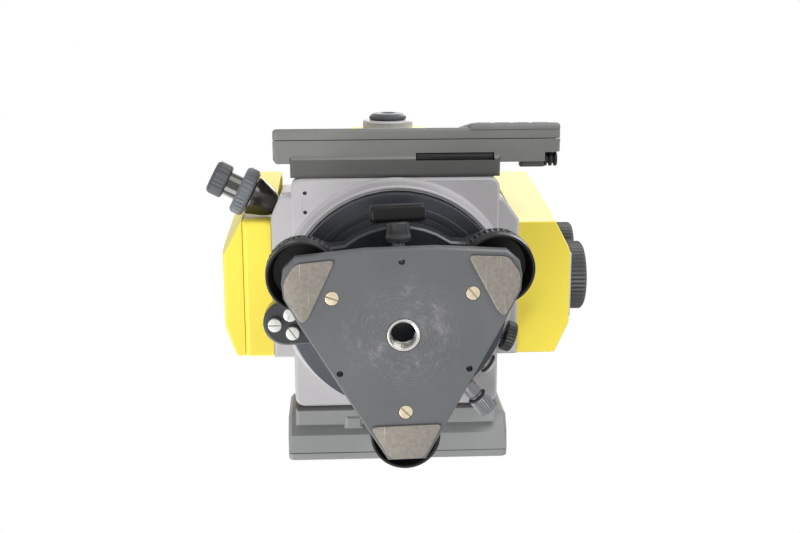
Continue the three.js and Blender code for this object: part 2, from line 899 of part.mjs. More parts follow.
function levelScrew(place, index) {
  const headLow = levelLobeLow - fitGap - levelScrewHeight;
  const headTop = headLow + levelScrewHeight;
  const tip = levelLobeLow + levelScrewShankLength;
  const body = turned(
    [
      [0, headLow],
      [levelScrewRadius, headLow],
      [levelScrewRadius, headTop],
      [levelScrewShank, headTop],
      [levelScrewShank, tip],
      [0, tip],
    ],
    smallFacets,
  );
  const depth = levelScrewHeight / 3;
  const slot = screwSlot(levelScrewRadius, levelScrewSlot, headLow, depth, levelScrewAngles[index]);
  return cut(body, slot).translate(...place);
}

function levelCell() {
  const low = levelLobeTop + fitGap;
  const top = low + levelCellHeight;
  const pocketLow = top - levelGlassHeight - fitGap;
  const body = softRod(levelCellRadius, low, top, tribrachEdge, mediumFacets);
  const pocket = rod(levelGlassRadius + fitGap, pocketLow, top + overrun, mediumFacets);
  return cut(body, pocket).translate(levelX, levelY, 0);
}

function levelGlass() {
  const top = levelLobeTop + fitGap + levelCellHeight;
  return rod(levelGlassRadius, top - levelGlassHeight, top, mediumFacets).translate(levelX, levelY, 0);
}

function addTribrach() {
  piece("base_plate", basePlate(), colours.tribrachGrey, tribrach);
  piece("base_pad_1", pad(upperPadShares, -1), colours.padMetal, tribrach);
  piece("base_pad_2", pad(upperPadShares, 1), colours.padMetal, tribrach);
  piece("base_pad_3", pad(lowerPadShares, 1), colours.padMetal, tribrach);
  piece("tripod_thread_bush", threadBush(), colours.steel, tribrach);
  piece("spring_plate", springPlate(), colours.steel, tribrach);
  footAngles.forEach((angle, index) => {
    piece(`plate_screw_${index + 1}`, plateScrew(index), colours.brass, tribrach);
    piece(`foot_screw_${index + 1}`, around(footScrew(), footCircle, angle), colours.black, tribrach);
  });
  piece("tribrach_body", tribrachBody(), colours.tribrachGrey, tribrach);
  piece("tribrach_lock_knob", lockKnob(), colours.black, tribrach);
  levelScrewPlaces().forEach((place, index) => {
    piece(`level_screw_${index + 1}`, levelScrew(place, index), colours.steel, tribrach);
  });
  piece("level_cell", levelCell(), colours.black, tribrach);
  piece("level_glass", levelGlass(), colours.glass, tribrach);
}

// Base disc and the vertical axis
function baseDisc() {
  return turned(
    [
      [sleeveRadius + fitGap, discBottom],
      [seatRadius, discBottom],
      [seatRadius, discStepLow],
      [discStepRadius, discStepLow],
      [discStepRadius, discLow],
      [discRadius - discEdge, discLow],
      [discRadius, discLow + discEdge],
      [discRadius, discTop],
      [sleeveRadius + fitGap, discTop],
      [sleeveRadius + fitGap, discBottom],
    ],
    largeFacets,
  );
}

function axisSleeve() {
  const flangeLow = discTop + fitGap;
  const flangeTop = flangeLow + sleeveFlangeHeight;
  return turned(
    [
      [sleeveInner, discBottom],
      [sleeveRadius, discBottom],
      [sleeveRadius, flangeLow],
      [sleeveFlangeRadius, flangeLow],
      [sleeveFlangeRadius, flangeTop],
      [sleeveRadius, flangeTop],
      [sleeveRadius, sleeveTop],
      [sleeveInner, sleeveTop],
      [sleeveInner, discBottom],
    ],
    mediumFacets,
  );
}

function verticalSpindle() {
  const flangeLow = sleeveTop + fitGap + fitGap;
  return turned(
    [
      [0, discBottom],
      [spindleRadius, discBottom],
      [spindleRadius, flangeLow],
      [spindleFlangeRadius, flangeLow],
      [spindleFlangeRadius, blockTop],
      [0, blockTop],
    ],
    mediumFacets,
  );
}

function addVerticalAxis() {
  piece("base_disc", baseDisc(), colours.black);
  piece("axis_sleeve", axisSleeve(), colours.steel);
  const circleTop = circleLow + circleThickness;
  const circle = ring(sleeveRadius + fitGap, circleRadius, circleLow, circleTop, largeFacets);
  piece("horizontal_circle", circle, colours.glass);
  piece("vertical_spindle", verticalSpindle(), colours.steel);
}

// Alidade casting: boss ring, block, wings, end walls and two standards
function wing(front, facet, facetFront, side) {
  const inner = blockHalfWidth - overrun;
  const plan = [
    [inner, facetFront],
    [wingReach - facet, facetFront],
    [wingReach, front],
    [wingReach, wingRear],
    [inner, wingRear],
  ];
  return slab(outline(plan.map(([x, y]) => [x * side, y])), wingLow, blockTop + overrun, blockEdge);
}

function standard(side) {
  const edges = [standardInner, wingReach].map((x) => x * side).sort((a, b) => a - b);
  const body = box(edges, [standardFront, standardRear], [blockTop - overrun, standardTop], standardEdge);
  const pocketEdges = [standardInner + standardPocketWall, wingReach + overrun]
    .map((x) => x * side)
    .sort((a, b) => a - b);
  const pocket = box(
    pocketEdges,
    [standardFront + standardPocketWall, standardRear - standardPocketWall],
    [blockTop + overrun, standardPocketTop],
  );
  const bore = rod(trunnionRadius + fitGap, standardInner - overrun, wingReach + overrun, mediumFacets);
  return cut(body, pocket, placed(bore, [0, 0, axisHeight], [side, 0, 0]));
}

function radialRod(radius, start, end, degrees, sides) {
  const angle = THREE.MathUtils.degToRad(degrees);
  const shape = rod(radius, start, end, sides);
  return placed(shape, [0, 0, lowKnobHeight], [Math.cos(angle), Math.sin(angle), 0]);
}

function alidadeBody() {
  const boss = turned(
    [
      [0, bossLow],
      [bossRadius - bossEdge, bossLow],
      [bossRadius, bossLow + bossEdge],
      [bossRadius, blockLow + overrun],
      [0, blockLow + overrun],
    ],
    largeFacets,
  );
  const block = slab(
    roundedRectangle(blockHalfWidth, blockHalfDepth, blockCorner),
    blockLow,
    blockTop,
    blockEdge,
  );
  const wall = [blockHalfDepth - endWallThickness, blockHalfDepth];
  const wallHalf = blockHalfWidth - blockCorner;
  const wallHeights = [blockTop - overrun, endWallTop];
  const body = join(
    boss,
    block,
    box([-wallHalf, wallHalf], [-wall[1], -wall[0]], wallHeights, blockEdge),
    box([-wallHalf, wallHalf], wall, wallHeights, blockEdge),
    wing(leftWingFront, leftWingFacet, leftWingFacetFront, -1),
    wing(rightWingFront, rightWingFacet, rightWingFacetFront, 1),
    standard(-1),
    standard(1),
  );
  const flangeSeat = sleeveTop + fitGap;
  const plummetAngle = THREE.MathUtils.degToRad(plummetDegrees);
  const plummetBore = placed(
    rod(plummetShank + fitGap, -plummetShankDepth - fitGap, plummetRingEnd, smallFacets),
    [plummetX, plummetY, plummetHeight],
    [Math.cos(plummetAngle), Math.sin(plummetAngle), 0],
  );
  const tools = [
    rod(bossInner, bossLow - overrun, recessTop, largeFacets),
    rod(sleeveRadius + runGap, recessTop - overrun, flangeSeat, mediumFacets),
    rod(spindleFlangeRadius + fitGap, flangeSeat, blockTop + overrun, mediumFacets),
    plummetBore,
  ];
  [turnClampDegrees, plugDegrees, turnTangentDegrees].forEach((degrees) => {
    const radius = lowShaftRadius + fitGap;
    tools.push(radialRod(radius, bossInner - overrun, bossRadius + overrun, degrees, smallFacets));
  });
  guideHoleSetbacks.forEach((setback) => {
    const hole = rod(guideHoleRadius, blockLow - overrun, blockLow + guideHoleDepth, smallFacets);
    tools.push(hole.translate(guideHoleX, setback - blockHalfDepth, 0));
  });
  return cut(body, ...tools);
}

// Panels: the case is the back half, the lid the front half, and both lean back by the same slope
function leaning(y, height, side) {
  return y - side * leanSlope * (height - panelLow);
}

function topCrossing(y, backY, backTop, frontTopY, top, side) {
  // Height where a leaning plane through y at the panel's foot meets the sloping top.
  const slope = (top - backTop) / (frontTopY - backY);
  return (backTop + slope * (y + side * leanSlope * panelLow - backY)) / (1 + slope * side * leanSlope);
}

function panelHalves(back, parting, face, backTop, top, side) {
  const faceTop = leaning(face, top, side);
  const lidBack = parting + side * fitGap;
  const partingTop = topCrossing(parting, back, backTop, faceTop, top, side);
  const lidBackTop = topCrossing(lidBack, back, backTop, faceTop, top, side);
  return {
    caseSection: [
      [back, panelLow],
      [parting, panelLow],
      [leaning(parting, partingTop, side), partingTop],
      [back, backTop],
    ],
    lidSection: [
      [lidBack, panelLow],
      [face, panelLow],
      [faceTop, top],
      [leaning(lidBack, lidBackTop, side), lidBackTop],
    ],
  };
}

// A plate set on a leaning face: up runs along the face from the panel's foot, out runs away from it.
function facePlate(xs, ups, outs, face, side, edge) {
  const lean = THREE.MathUtils.degToRad(panelLeanDegrees);
  const plate = box(xs, [side < 0 ? -outs[1] : outs[0], side < 0 ? -outs[0] : outs[1]], ups, edge);
  return plate.rotateX(side * lean).translate(0, face, panelLow);
}

function powerKey(x, depthIn, proud, face, side, radius) {
  const lean = THREE.MathUtils.degToRad(panelLeanDegrees);
  const shape = softRod(radius, -depthIn, proud, faceInset / 2, smallFacets);
  const key = placed(shape, [x, 0, powerKeyUp], [0, side, 0]);
  return key.rotateX(side * lean).translate(0, face, panelLow);
}

const frontHalves = panelHalves(frontBack, frontParting, frontFace, frontBackTop, frontTop, -1);
const rearHalves = panelHalves(rearBack, rearParting, rearFace, rearBackTop, rearTop, 1);

function frontCase() {
  const body = section(frontHalves.caseSection, frontLeft, frontRight, panelSideEdge);
  const neck = box(
    [-blockHalfWidth, blockHalfWidth],
    [frontBack - overrun, -blockHalfDepth - fitGap],
    [blockLow, neckTop],
    blockEdge,
  );
  const connector = box(
    [connectorBossLeft, connectorBossRight],
    [frontBack - overrun, connectorBossRear],
    [connectorBossLow, connectorBossTop],
    blockEdge,
  );
  const slot = box([slotLeft, slotRight], [slotFront, slotRear], [panelLow - overrun, panelLow + slotDepth]);
  const shankStart = connectorBossRight - connectorShankDepth;
  const shankHole = rod(capCoreRadius / 2 + fitGap, shankStart, connectorBossRight + overrun, smallFacets);
  const corner = box(
    [connectorBossRight, frontRight + overrun],
    [capY - capRadius - runGap, frontBack + overrun],
    [panelLow - overrun, connectorBossTop],
  );
  const bore = placed(shankHole, [0, capY, capHeight], [1, 0, 0]);
  return cut(join(cut(body, corner), neck, connector), slot, bore);
}

function connectorCap() {
  const start = connectorBossRight + fitGap;
  const stem = capCoreRadius / 2;
  const profile = [
    [0, start - connectorShankDepth],
    [stem, start - connectorShankDepth],
    [stem, start],
  ];
  for (let i = 0; i < capFins; i += 1) {
    const low = start + i * capFinPitch;
    profile.push([capRadius, low], [capRadius, low + capFinWidth], [capCoreRadius, low + capFinWidth]);
    if (i < capFins - 1) profile.push([capCoreRadius, low + capFinPitch]);
  }
  profile.push([0, start + (capFins - 1) * capFinPitch + capFinWidth]);
  return placed(turned(profile, smallFacets), [0, capY, capHeight], [1, 0, 0]);
}

function frontLid() {
  const { lidSection } = frontHalves;
  const body = section(lidSection, frontLeft, frontRight, panelSideEdge);
  const raised = section(
    [
      lidSection[1].map((value, axis) => (axis === 0 ? value + overrun / 2 : value)),
      [lidSection[1][0] - frontRaise, panelLow],
      [lidSection[2][0] - frontRaise, frontTop],
      lidSection[2].map((value, axis) => (axis === 0 ? value + overrun / 2 : value)),
    ],
    frontRaisedFrom,
    frontRight,
    panelSideEdge,
  );
  const display = facePlate(
    [frontDisplayLeft - fitGap, frontDisplayRight + fitGap],
    [displayLow - fitGap, displayHigh + fitGap],
    [-faceInset - fitGap, overrun],
    frontFace,
    -1,
  );
  const keys = facePlate(
    [frontKeysLeft - fitGap, frontKeysRight + fitGap],
    [frontKeysLow - fitGap, frontKeysHigh + fitGap],
    [-faceInset - fitGap, overrun],
    frontRaisedFace,
    -1,
  );
  const power = powerKey(
    frontPowerX,
    powerKeyDepth + powerKeyProud + fitGap,
    overrun,
    frontRaisedFace,
    -1,
    powerKeyRadius + fitGap,
  );
  return cut(join(body, raised), display, keys, power);
}

function addFrontPanel() {
  piece("front_case", frontCase(), colours.panelGrey);
  piece("front_lid", frontLid(), colours.panelGrey);
  const display = facePlate(
    [frontDisplayLeft, frontDisplayRight],
    [displayLow, displayHigh],
    [-faceInset, faceThickness - faceInset],
    frontFace,
    -1,
  );
  piece("front_display_glass", display, colours.glass);
  const keys = facePlate(
    [frontKeysLeft, frontKeysRight],
    [frontKeysLow, frontKeysHigh],
    [-faceInset, faceThickness - faceInset],
    frontRaisedFace,
    -1,
  );
  piece("front_keypad", keys, colours.knobGrey);
  const power = powerKey(frontPowerX, powerKeyDepth, powerKeyProud, frontRaisedFace, -1, powerKeyRadius);
  piece("front_power_key", power, colours.knobGrey);
  const slotCover = box(
    [slotLeft + fitGap, slotRight - fitGap],
    [slotFront + fitGap, slotRear - fitGap],
    [panelLow + slotCoverInset, panelLow + slotDepth - fitGap],
  );
  piece("card_slot_cover", slotCover, colours.black);
  piece("connector_cap", connectorCap(), colours.black);
}

function rearCase() {
  const [foot, parting, partingTop, backTop] = rearHalves.caseSection;
  const body = section(
    [[foot[0], rearBevelLow], [foot[0] + rearBevelRun, panelLow], parting, partingTop, backTop],
    rearLeft,
    rearRight,
    panelSideEdge,
  );
  const neck = box(
    [-blockHalfWidth, blockHalfWidth],
    [blockHalfDepth + fitGap, rearBack + overrun],
    [blockLow, neckTop],
    blockEdge,
  );
  const boss = box(
    [rearBossX - rearBossHalfWidth, rearBossX + rearBossHalfWidth],
    [rearBossFront, rearBossRear],
    [rearBossLow, rearBossTop],
    rearBossEdge,
  );
  return join(body, neck, boss);
}

function rearLid() {
  const body = section(rearHalves.lidSection, rearLeft, rearRight, panelSideEdge);
  const display = facePlate(
    [rearDisplayLeft - fitGap, rearDisplayRight + fitGap],
    [displayLow - fitGap, displayHigh + fitGap],
    [-faceInset - fitGap, overrun],
    rearFace,
    1,
  );
  const keys = facePlate(
    [rearKeysLeft - fitGap, rearKeysRight + fitGap],
    [rearKeysLow - fitGap, rearKeysHigh + fitGap],
    [-faceInset - fitGap, overrun],
    rearFace,
    1,
  );
  const depthIn = powerKeyDepth + powerKeyProud + fitGap;
  const power = powerKey(rearPowerX, depthIn, overrun, rearFace, 1, powerKeyRadius + fitGap);
  return cut(body, display, keys, power);
}

function addRearPanel() {
  piece("rear_case", rearCase(), colours.panelGrey);
  piece("rear_lid", rearLid(), colours.panelGrey);
  const outs = [-faceInset, faceThickness - faceInset];
  const displayXs = [rearDisplayLeft, rearDisplayRight];
  const display = facePlate(displayXs, [displayLow, displayHigh], outs, rearFace, 1);
  piece("rear_display_glass", display, colours.glass);
  const keyXs = [rearKeysLeft, rearKeysRight];
  const keys = facePlate(keyXs, [rearKeysLow, rearKeysHigh], outs, rearFace, 1);
  piece("rear_keypad", keys, colours.knobGrey);
  const power = powerKey(rearPowerX, powerKeyDepth, powerKeyProud, rearFace, 1, powerKeyRadius);
  piece("rear_power_key", power, colours.knobGrey);
}

// Side covers: one plan for both sides with its own widths, and a bay for the battery in the left one
function coverLoops(side, inset, heights) {
  const wingFront = side > 0 ? rightWingFront : leftWingFront;
  const setbacks = side > 0 ? rightSetbacks : leftSetbacks;
  const frontDepths = side > 0 ? rightFrontDepths : leftFrontDepths;
  const outerDepths = side > 0 ? rightOuterDepths : leftOuterDepths;
  const rearDepths = side > 0 ? rightRearDepths : leftRearDepths;
  return coverHeights.map((_, level) => {
    const front = wingFront + setbacks[level] + inset;
    const rear = coverRears[level] - inset;
    const outer = wingReach + outerDepths[level] - inset;
    const plan = [
      [coverInner - (inset ? overrun : 0), front],
      [wingReach + frontDepths[level] - inset / 2, front],
      [outer, coverFaceFronts[level]],
      [outer, coverFaceRears[level]],
      [wingReach + rearDepths[level] - inset / 2, rear],
      [coverInner - (inset ? overrun : 0), rear],
    ];
    const loop = plan.map(([x, y]) => [x * side, y, heights[level]]);
    return side > 0 ? loop : loop.reverse();
  });
}

function coverBlank(side) {
  return loft(coverLoops(side, 0, coverHeights));
}

function coverHollow(side) {
  const last = coverHeights.length - 1;
  const heights = coverHeights.map((height, level) => {
    if (level === 0) return height + coverWall;
    return level === last ? height - coverWall : height;
  });
  return loft(coverLoops(side, coverWall, heights));
}

function bayBox(gap, low, high) {
  const far = leftOuter + overrun * 2;
  return box([-far, -batterySeam - gap], [-far, far], [low, high]);
}

function leftCover() {
  const wallLeft = -batterySeam;
  const seamWall = box(
    [wallLeft, wallLeft + coverWall],
    [leftWingFront + leftSetbacks[0] + coverWall / 2, coverRears[0] - coverWall / 2],
    [coverLow + coverWall / 2, batteryTop + coverWall],
  );
  const shelf = box(
    [-leftOuter + coverWall / 2, wallLeft + coverWall],
    [coverFaceFronts[0], coverFaceRears[0]],
    [batteryTop + fitGap, batteryTop + coverWall],
  );
  const shell = join(cut(coverBlank(-1), coverHollow(-1)), seamWall, shelf);
  const half = batteryLatchHalfWidth + fitGap;
  const pocketTop = batteryLatchTop + batteryLatchTravel + fitGap;
  const pocketFloor = -leftOuter + batteryLatchThickness + fitGap;
  const pocketLow = batteryLatchLow - fitGap;
  const latchPocket = box([-leftOuter - overrun, pocketFloor], [-half, half], [pocketLow, pocketTop]);
  const latchWall = box(
    [-leftOuter + coverWall / 2, pocketFloor + coverWall],
    [-half - coverWall, half + coverWall],
    [pocketLow, pocketTop + coverWall],
  );
  const bay = bayBox(0, coverLow - overrun, batteryTop + fitGap);
  return cut(join(shell, latchWall), bay, latchPocket);
}

function batteryPack() {
  const inward = box(
    [-batterySeam - fitGap, 0],
    [-leftOuter, leftOuter],
    [coverLow - overrun, standardTop],
  );
  const above = bayBox(-overrun, batteryTop, standardTop);
  const below = bayBox(-overrun, coverLow - overrun, batteryLow);
  return cut(coverBlank(-1), inward, above, below);
}

function batteryLatch() {
  return box(
    [-leftOuter - fitGap, -leftOuter + batteryLatchThickness],
    [-batteryLatchHalfWidth, batteryLatchHalfWidth],
    [batteryLatchLow, batteryLatchTop],
    batteryLatchEdge,
  );
}

function knobBores(start, end) {
  const bore = rod(knobShaftRadius + fitGap, start, end, smallFacets);
  return [
    placed(bore.clone(), [0, tangentKnobY, tangentKnobHeight], [1, 0, 0]),
    placed(bore, [0, clampKnobY, clampKnobHeight], [1, 0, 0]),
  ];
}

function rightCover() {
  const shell = cut(coverBlank(1), coverHollow(1));
  return cut(shell, ...knobBores(rightOuter - coverWall - overrun, rightOuter + overrun));
}

function knobPanel() {
  const start = rightOuter + fitGap;
  const plate = box(
    [start, start + knobPanelThickness],
    [knobPanelFront, knobPanelRear],
    [knobPanelLow, knobPanelTop],
    knobPanelEdge,
  );
  return cut(plate, ...knobBores(start - overrun, start + knobPanelThickness + overrun));
}

// A knob with a notched grip on a shaft, made along Z from its seat
function knob(radius, length, knurls, shaftRadius, shaftDepth) {
  const side = grip(radius, 0, length - knobEdge, knurlDepth, knurls, knobEdge);
  const faceRadius = radius - knurlDepth - knobEdge;
  const face = softRod(faceRadius, length - 2 * knobEdge, length, knobEdge / 2, mediumFacets);
  const shaft = rod(shaftRadius, -shaftDepth, knobEdge * 2, smallFacets);
  return join(side, face, shaft);
}

function addCovers() {
  piece("left_cover", leftCover(), colours.yellow);
  piece("battery_pack", batteryPack(), colours.yellow);
  piece("battery_latch", batteryLatch(), colours.panelGrey);
  piece("right_cover", rightCover(), colours.yellow);
  piece("knob_panel", knobPanel(), colours.panelGrey);
  const seat = rightOuter + 2 * fitGap + knobPanelThickness;
  const tangent = knob(
    tangentKnobRadius,
    tangentKnobLength,
    tangentKnurls,
    knobShaftRadius,
    knobShaftDepth,
  );
  piece(
    "vertical_tangent_knob",
    placed(tangent, [seat, tangentKnobY, tangentKnobHeight], [1, 0, 0]),
    colours.knobGrey,
  );
  const clamp = knob(clampKnobRadius, clampKnobLength, clampKnurls, knobShaftRadius, knobShaftDepth);
  piece(
    "vertical_clamp_knob",
    placed(clamp, [seat, clampKnobY, clampKnobHeight], [1, 0, 0]),
    colours.knobGrey,
  );
}

function radialPlace(radius, degrees) {
  const angle = THREE.MathUtils.degToRad(degrees);
  return [
    [radius * Math.cos(angle), radius * Math.sin(angle), lowKnobHeight],
    [Math.cos(angle), Math.sin(angle), 0],
  ];
}

function addLowKnobs() {
  const seat = bossRadius + fitGap;
  const shaft = lowShaftDepth;
  const clamp = knob(turnClampRadius, turnClampLength, clampKnurls, lowShaftRadius, shaft);
  piece("horizontal_clamp_knob", placed(clamp, ...radialPlace(seat, turnClampDegrees)), colours.knobGrey);
  const plug = join(
    softRod(plugRadius, 0, plugLength, knobEdge / 2, smallFacets),
    rod(lowShaftRadius, -shaft, knobEdge, smallFacets),
  );
  piece("side_plug", placed(plug, ...radialPlace(seat, plugDegrees)), colours.casting);
  const tip = knob(
    turnTangentRadius,
    turnTangentLength,
    turnTangentKnurls,
    lowShaftRadius,
    turnTangentStandoff + shaft,
  );
  const seatBehindGrip = seat - turnTangentGripStart;
  const ringBehindGrip = ringStandoff - turnTangentStandoff;
  const collar = rod(turnTangentShaft, seatBehindGrip, ringBehindGrip + knobEdge, smallFacets);
  const tail = rod(turnTangentShaft - knobEdge, seatBehindGrip, knobEdge, smallFacets);
  piece(
    "horizontal_tangent_knob",
    placed(join(tip, collar, tail), ...radialPlace(turnTangentGripStart, turnTangentDegrees)),
    colours.knobGrey,
  );
  const ringLow = ringStart + knobEdge + fitGap;
  const ringInner = turnTangentShaft - knobEdge + fitGap;
  const bandWidth = turnTangentGripStart - ringLow - fitGap;
  const band = ring(ringInner, ringRadius, 0, bandWidth, smallFacets);
  piece("tangent_ring", placed(band, ...radialPlace(ringLow, turnTangentDegrees)), colours.black);
}

// Optical plummet
function alongPlummet(geometry) {
  const angle = THREE.MathUtils.degToRad(plummetDegrees);
  return placed(geometry, [plummetX, plummetY, plummetHeight], [Math.cos(angle), Math.sin(angle), 0]);
}

function addPlummet() {
  const neckSeat = plummetTubeEnd + fitGap;
  const tube = turned(
    [
      [0, -plummetShankDepth],
      [plummetShank, -plummetShankDepth],
      [plummetShank, plummetStart],
      [plummetRootRadius, plummetStart],
      [plummetTubeRadius, plummetTubeEnd],
      [plummetNeckRadius, plummetTubeEnd],
      [plummetNeckRadius, plummetNeckEnd],
      [0, plummetNeckEnd],
    ],
    mediumFacets,
  );
  piece("plummet_tube", alongPlummet(tube), colours.knobGrey);
  const focus = cut(
    grip(plummetRingRadius, neckSeat, plummetRingEnd, knurlDepth, plummetRingNotches, knobEdge),
    rod(plummetNeckRadius + fitGap, neckSeat - overrun, plummetRingEnd + overrun, mediumFacets),
  );
  piece("plummet_focus_ring", alongPlummet(focus), colours.knobGrey);
  const eye = cut(
    grip(plummetEyeRadius, plummetEyeStart, plummetEyeEnd, knurlDepth, plummetEyeKnurls, knobEdge),
    rod(plummetNeckRadius + fitGap, plummetEyeStart - overrun, plummetNeckEnd + fitGap, mediumFacets),
    rod(plummetEyeBore, plummetNeckEnd, plummetEyeEnd + overrun, mediumFacets),
  );
  piece("plummet_eyepiece", alongPlummet(eye), colours.knobGrey);
}

// Telescope on its trunnions
function scopeLoops() {
  return scopeYs.map((y, level) => {
    const half = scopeHalfWidths[level];
    const high = scopeHalfHeights[level];
    const cornerX = half * scopeCornerShare;
    const cornerZ = high * scopeCornerShare;
    const plan = [
      [half, cornerZ - high],
      [half, high - cornerZ],
      [half - cornerX, high],
      [cornerX - half, high],
      [-half, high - cornerZ],
      [-half, cornerZ - high],
      [cornerX - half, -high],
      [half - cornerX, -high],
    ];
    return plan.map(([x, z]) => [x, y, axisHeight + z]).reverse();
  });
}

function telescopeBody() {
  const shaft = rod(trunnionRadius, -trunnionEnd, trunnionEnd, mediumFacets);
  const stub = rod(trunnionStubRadius, trunnionEnd - overrun, trunnionStubEnd, smallFacets);
  const body = join(
    loft(scopeLoops()),
    placed(shaft, [0, 0, axisHeight], [1, 0, 0]),
    placed(stub, [0, 0, axisHeight], [-1, 0, 0]),
  );
  const seat = rod(barrelShankRadius + fitGap, barrelSeat, barrelEnd, mediumFacets);
  const eyeEnd = -scopeYs[0];
  const neck = rod(focusNeckRadius + fitGap, eyeEnd - focusNeckDepth - fitGap, eyeEnd + overrun, mediumFacets);
  const centre = [0, 0, axisHeight];
  return cut(body, placed(seat, centre, [0, 1, 0]), placed(neck, centre, [0, -1, 0]));
}

function addTelescope() {
  piece("telescope_body", telescopeBody(), colours.yellow);
  const shoulder = scopeYs[scopeYs.length - 1] + fitGap;
  const bore = barrelShankRadius - barrelWall;
  const barrel = turned(
    [
      [bore, barrelSeat + fitGap],
      [barrelShankRadius, barrelSeat + fitGap],
      [barrelShankRadius, shoulder],
      [barrelRadius, shoulder],
      [barrelRadius, barrelEnd],
      [barrelRadius - barrelWall, barrelEnd],
      [barrelRadius - barrelWall, lensSeat],
      [bore, lensSeat],
      [bore, barrelSeat + fitGap],
    ],
    mediumFacets,
  );
  piece("objective_barrel", placed(barrel, [0, 0, axisHeight], [0, 1, 0]), colours.knobGrey);
  const lensRadius = barrelRadius - barrelWall - fitGap;
  const lensLow = lensSeat + fitGap;
  const lens = turned(
    [
      [0, lensLow],
      [lensRadius, lensLow],
      [lensRadius, lensLow + lensThickness / 2],
      [lensRadius / 2, lensLow + lensThickness],
      [0, lensLow + lensThickness],
    ],
    mediumFacets,
  );
  piece("objective_lens", placed(lens, [0, 0, axisHeight], [0, 1, 0]), colours.glass);
  const eyeEnd = -scopeYs[0];
  const focus = cut(
    join(
      grip(focusRingRadius, eyeEnd + fitGap, focusRingEnd, knurlDepth, focusKnurls, fitGap),
      rod(focusNeckRadius, eyeEnd - focusNeckDepth, eyeEnd + overrun / 2, mediumFacets),
    ),
    rod(eyepieceShankRadius + fitGap, eyeEnd - focusNeckDepth / 2, focusRingEnd + overrun, smallFacets),
  );
  piece("focusing_ring", placed(focus, [0, 0, axisHeight], [0, -1, 0]), colours.knobGrey);
  const eye = cut(
    join(
      grip(eyepieceRadius, focusRingEnd + fitGap, eyepieceEnd, knurlDepth, eyepieceKnurls, fitGap),
      rod(eyepieceShankRadius, eyeEnd - focusNeckDepth / 2 + fitGap, eyepieceEnd - fitGap, smallFacets),
    ),
    rod(eyepieceBore, eyepieceEnd - eyepieceBoreDepth, eyepieceEnd + overrun, smallFacets),
  );
  piece("telescope_eyepiece", placed(eye, [0, 0, axisHeight], [0, -1, 0]), colours.black);
  const circle = ring(
    trunnionStubRadius + fitGap,
    verticalCircleRadius,
    verticalCircleX,
    verticalCircleX + verticalCircleThickness,
    mediumFacets,
  );
  piece("vertical_circle", placed(circle, [0, 0, axisHeight], [-1, 0, 0]), colours.glass);
}

// Carrying handle with a screw through the foot of each arm
function carryHandle() {
  const foot = standardTop + fitGap;
  const depth = [-handleHalfDepth, handleHalfDepth];
  const arms = [-1, 1].map((side) => {
    const edges = [handleArmInner * side, handleArmOuter * side].sort((a, b) => a - b);
    return box(edges, depth, [foot, handleTop], handleEdge);
  });
  const bar = box([-handleArmOuter, handleArmOuter], depth, [handleGripLow, handleTop], handleEdge);
  const bores = [-1, 1].map((side) => {
    const depthIn = handleScrewShankLength + fitGap;
    const start = handleArmOuter - depthIn;
    const bore = rod(handleScrewShank + fitGap, start, handleArmOuter + overrun, smallFacets);
    return placed(bore, [0, 0, handleScrewHeight], [side, 0, 0]);
  });
  return cut(join(...arms, bar), ...bores);
}

function addHandle() {
  piece("carry_handle", carryHandle(), colours.knobGrey);
  [-1, 1].forEach((side, index) => {
    const screw = knob(
      handleScrewRadius,
      handleScrewLength,
      handleScrewKnurls,
      handleScrewShank,
      handleScrewShankLength,
    );
    const seat = [(handleArmOuter + fitGap) * side, 0, handleScrewHeight];
    piece(`handle_screw_${index + 1}`, placed(screw, seat, [side, 0, 0]), colours.steel);
  });
}

function mainBoard() {
  const pocketBack = standardInner + standardPocketWall;
  const low = pocketBack + boardStandoff;
  const front = standardFront + standardPocketWall + boardMargin;
  const rear = standardRear - standardPocketWall - boardMargin;
  const bottom = blockTop + overrun + boardMargin;
  const top = standardPocketTop - boardMargin;
  const plate = box([low, low + boardThickness], [front, rear], [bottom, top]);
  const posts = [
    [front + boardMargin, bottom + boardMargin],
    [rear - boardMargin, bottom + boardMargin],
    [front + boardMargin, top - boardMargin],
    [rear - boardMargin, top - boardMargin],
  ].map(([y, z]) => {
    const post = rod(boardPostRadius, pocketBack + fitGap, low + boardThickness / 2, smallFacets);
    return placed(post, [0, y, z], [1, 0, 0]);
  });
  return join(plate, ...posts);
}

addTribrach();
addVerticalAxis();
piece("alidade_body", alidadeBody(), colours.casting);
addFrontPanel();
addRearPanel();
addCovers();
addLowKnobs();
addPlummet();
addTelescope();
addHandle();
piece("main_board", mainBoard(), colours.boardGreen);

export default instrument;
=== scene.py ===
"""Looks of a total station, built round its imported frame.

Lengths are in metres, in the frame of the part: +Z runs up the vertical axis, -Y points to the wide front
panel, and the three pads of the base plate rest on the plane of z = 0. Tables of a piece's profile are in
millimetres, and millimetres() turns them into metres.
"""

import logging
import math
from collections.abc import Callable
from dataclasses import dataclass, field, replace
from enum import Enum

import bmesh
import bpy
import numpy as np
from mathutils import Matrix, Vector


